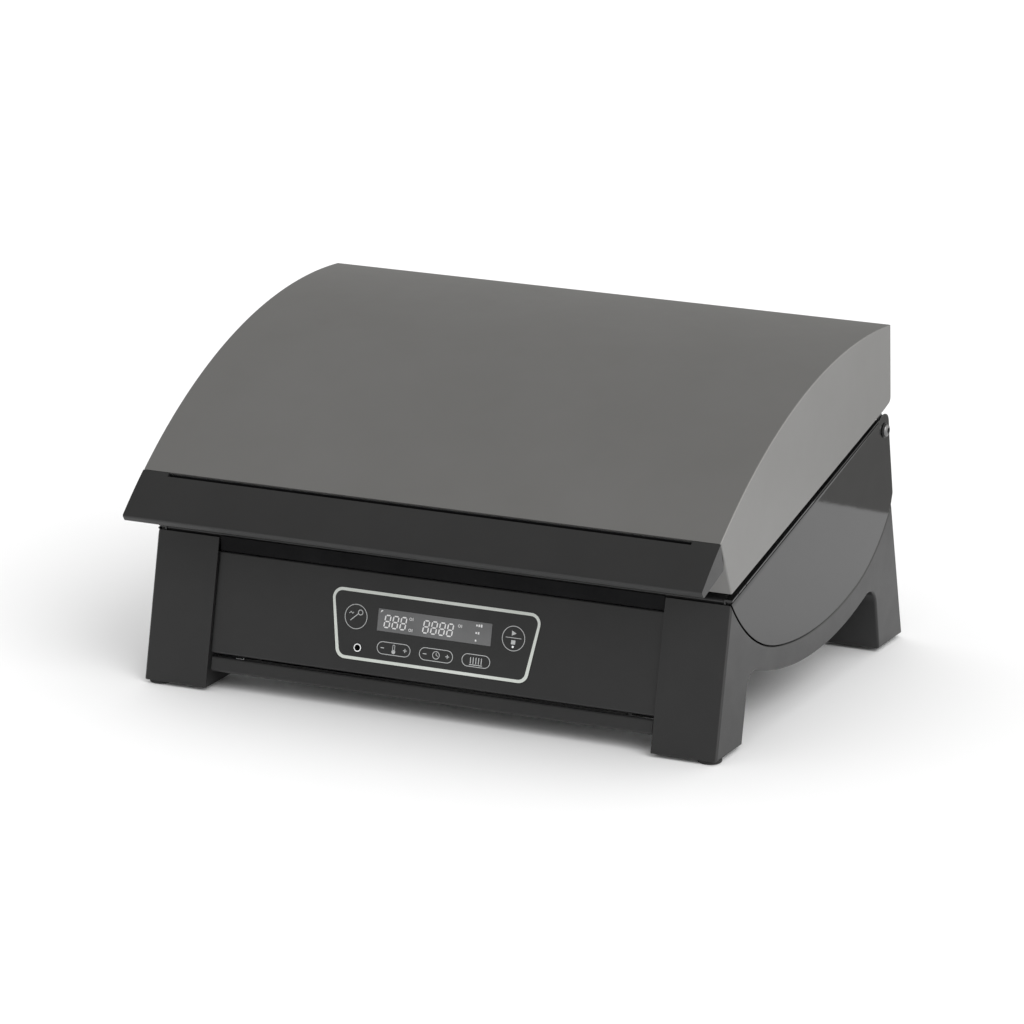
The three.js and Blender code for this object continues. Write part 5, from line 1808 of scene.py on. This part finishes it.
@dataclass
class Studio:
    """Floor, lights and camera.

    Attributes:
        floor_half: Half the floor's width in metres.
        camera_at: Where the camera stands.
        look_at: The point it looks at.
        focal: Its focal length.
        dome: Strength of the even light all round.
        bright_side: Where along X the mirrored sky starts and ends growing brighter.
        side_gain: How many times brighter it is beyond.
        mirrored_sky: Colour that mirror-like surfaces see around them.
        paper_edges: Edges of the painted reflection, a patch of floor that only mirror-like surfaces see darker: a
            direction on the floor, and where along it the patch's soft edge starts and ends.
    """

    floor_half: float = 14.0
    camera_at: tuple[float, float, float] = (2.4878, -5.2146, 1.7938)
    look_at: tuple[float, float, float] = (0.0026, -0.024, 0.1705)
    focal: float = 205.2
    dome: float = 1.05
    bright_side: tuple[float, float] = (0.1, 0.65)
    side_gain: float = 4.2
    mirrored_sky: tuple[float, float, float] = (0.40, 0.396, 0.386)
    paper_edges: tuple[tuple[tuple[float, float, float], float, float], ...] = (
        ((-0.145, 1.0, 0.0), 0.62, 0.63), ((1.0, -0.186, 0.0), 0.489, 0.479))

    def floor(self) -> None:
        """Makes the pale floor, with a painted reflection: a patch that only mirror-like surfaces see, glowing darker
        than the lit paper.
        """
        mesh = bpy.data.meshes.new("floor")
        h = self.floor_half
        mesh.from_pydata([(-h, -h, 0), (h, -h, 0), (h, h, 0), (-h, h, 0)], [], [(0, 1, 2, 3)])
        obj = bpy.data.objects.new("floor", mesh)
        bpy.context.scene.collection.objects.link(obj)
        material = bpy.data.materials.new("floor_paper_and_painted_reflection")
        material.use_nodes = True
        nodes, links = material.node_tree.nodes, material.node_tree.links
        paper = nodes["Principled BSDF"]
        paper.inputs["Base Color"].default_value = (0.86, 0.86, 0.86, 1)
        paper.inputs["Roughness"].default_value = 0.8
        paper.inputs["Specular IOR Level"].default_value = 0.1
        # painted reflection: a dull glow in the mirrored sky's colour, seen only by mirror-like surfaces over the
        # patch
        beyond = nodes.new("ShaderNodeEmission")
        beyond.inputs["Color"].default_value = (*self.mirrored_sky, 1)
        place = nodes.new("ShaderNodeTexCoord")
        factor = nodes.new("ShaderNodeLightPath").outputs["Is Glossy Ray"]
        for direction, start, end in self.paper_edges:
            kinds = ("VectorMath", "MapRange", "Math")
            along, edge, both = (nodes.new(f"ShaderNode{kind}") for kind in kinds)
            along.operation, both.operation = "DOT_PRODUCT", "MULTIPLY"
            along.inputs[1].default_value = direction
            edge.inputs[1].default_value, edge.inputs[2].default_value = start, end
            links.new(place.outputs["Object"], along.inputs[0])
            links.new(along.outputs["Value"], edge.inputs["Value"])
            links.new(edge.outputs["Result"], both.inputs[0])
            links.new(factor, both.inputs[1])
            factor = both.outputs[0]
        mix = nodes.new("ShaderNodeMixShader")
        links.new(factor, mix.inputs[0])
        links.new(paper.outputs[0], mix.inputs[1])
        links.new(beyond.outputs[0], mix.inputs[2])
        links.new(mix.outputs[0], nodes["Material Output"].inputs["Surface"])
        mesh.materials.append(material)
        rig.stage(obj)

    def sky(self) -> None:
        """Makes the surroundings: white behind the object, even light, and softer mirror images."""
        world = bpy.data.worlds.new("studio")
        bpy.context.scene.world = world
        world.cycles.sampling_method = "NONE"
        world.use_nodes = True
        nodes, links = world.node_tree.nodes, world.node_tree.links
        nodes.clear()
        kinds = ("LightPath", "TexCoord", "SeparateXYZ")
        path, place, split = (nodes.new(f"ShaderNode{kind}") for kind in kinds)
        side = nodes.new("ShaderNodeMapRange")
        side.interpolation_type = "SMOOTHSTEP"
        for i, value in enumerate((*self.bright_side, 1.0, self.side_gain), 1):
            side.inputs[i].default_value = value
        links.new(place.outputs["Generated"], split.inputs[0])
        links.new(split.outputs["X"], side.inputs["Value"])
        shader = None
        white = (1.0, 1.0, 1.0)
        for ray, colour, strength in (("", white, self.dome), ("Is Glossy Ray", self.mirrored_sky, 1.0),
                                      ("Is Camera Ray", white, 1.0)):
            light = nodes.new("ShaderNodeBackground")
            light.inputs["Color"].default_value = (*colour, 1)
            light.inputs["Strength"].default_value = strength
            if ray == "Is Glossy Ray":
                links.new(side.outputs["Result"], light.inputs["Strength"])
            if shader is not None:
                mix = nodes.new("ShaderNodeMixShader")
                links.new(path.outputs[ray], mix.inputs[0])
                links.new(shader.outputs[0], mix.inputs[1])
                links.new(light.outputs[0], mix.inputs[2])
                light = mix
            shader = light
        links.new(shader.outputs[0], nodes.new("ShaderNodeOutputWorld").inputs["Surface"])

    def daylight(self, name: str, towards: Sequence[float], strength: float, spread: float) -> None:
        """Hangs a wide, even light.

        Args:
            name: Its name.
            towards: The direction it shines in.
            strength: How strong it is.
            spread: How wide it looks, in degrees.
        """
        lamp = bpy.data.lights.new(name, "SUN")
        lamp.energy, lamp.angle = strength, math.radians(spread)
        obj = bpy.data.objects.new(name, lamp)
        obj.rotation_euler = Vector(towards).to_track_quat("-Z", "Y").to_euler()
        bpy.context.scene.collection.objects.link(obj)

    def camera(self) -> None:
        """Places the camera."""
        data = bpy.data.cameras.new("camera")
        data.lens, data.sensor_width, data.clip_end = self.focal, 36.0, 100.0
        obj = bpy.data.objects.new("camera", data)
        obj.location = self.camera_at
        sight = Vector(self.look_at) - Vector(self.camera_at)
        obj.rotation_euler = sight.to_track_quat("-Z", "Y").to_euler()
        bpy.context.scene.collection.objects.link(obj)
        bpy.context.scene.camera = obj

    def build(self) -> None:
        """Sets up the studio."""
        bpy.context.scene.view_settings.view_transform = "Standard"
        self.floor()
        self.sky()
        self.daylight("key", (-0.85, 0.5, -0.8), 1.3, 40.0)
        self.camera()


def dress_rest() -> None:
    """Gives every frame node that still shows the finish of its own slot."""
    finishes = {}
    for value in list(globals().values()):
        if isinstance(value, Finish):
            finishes.setdefault(value.slot, value)
    slots = {part["node"]: part["material_slot"] for part in frame["record"]["subparts"]}
    for name, node in frame["nodes"].items():
        material = Painter.of(finishes[slots[name]])
        for holder in node.material_slots:
            holder.material = material


def main() -> None:
    """Builds the griddle round its frame and writes both boxes."""
    logging.basicConfig(level=logging.INFO, format="%(name)s: %(message)s")
    site, shop = Site(), Workshop()
    Studio().build()
    Stands(site, shop).build()
    Firebox(site, shop).build()
    Plate().build()
    Hood(site, shop).build()
    ControlFront(site, shop).build()
    GreaseTray(site).build()
    Rear(site, shop).build()
    dress_rest()
    bpy.context.view_layer.update()
    with open(SIZE_FILE, "w", encoding="utf-8") as file:
        sizes = {"cad": [list(map(float, corner)) for corner in CAD_BOX],
                 "visual": [list(map(float, corner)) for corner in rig.bounds()]}
        json.dump(sizes, file)


if __name__ == "__main__":
    main()
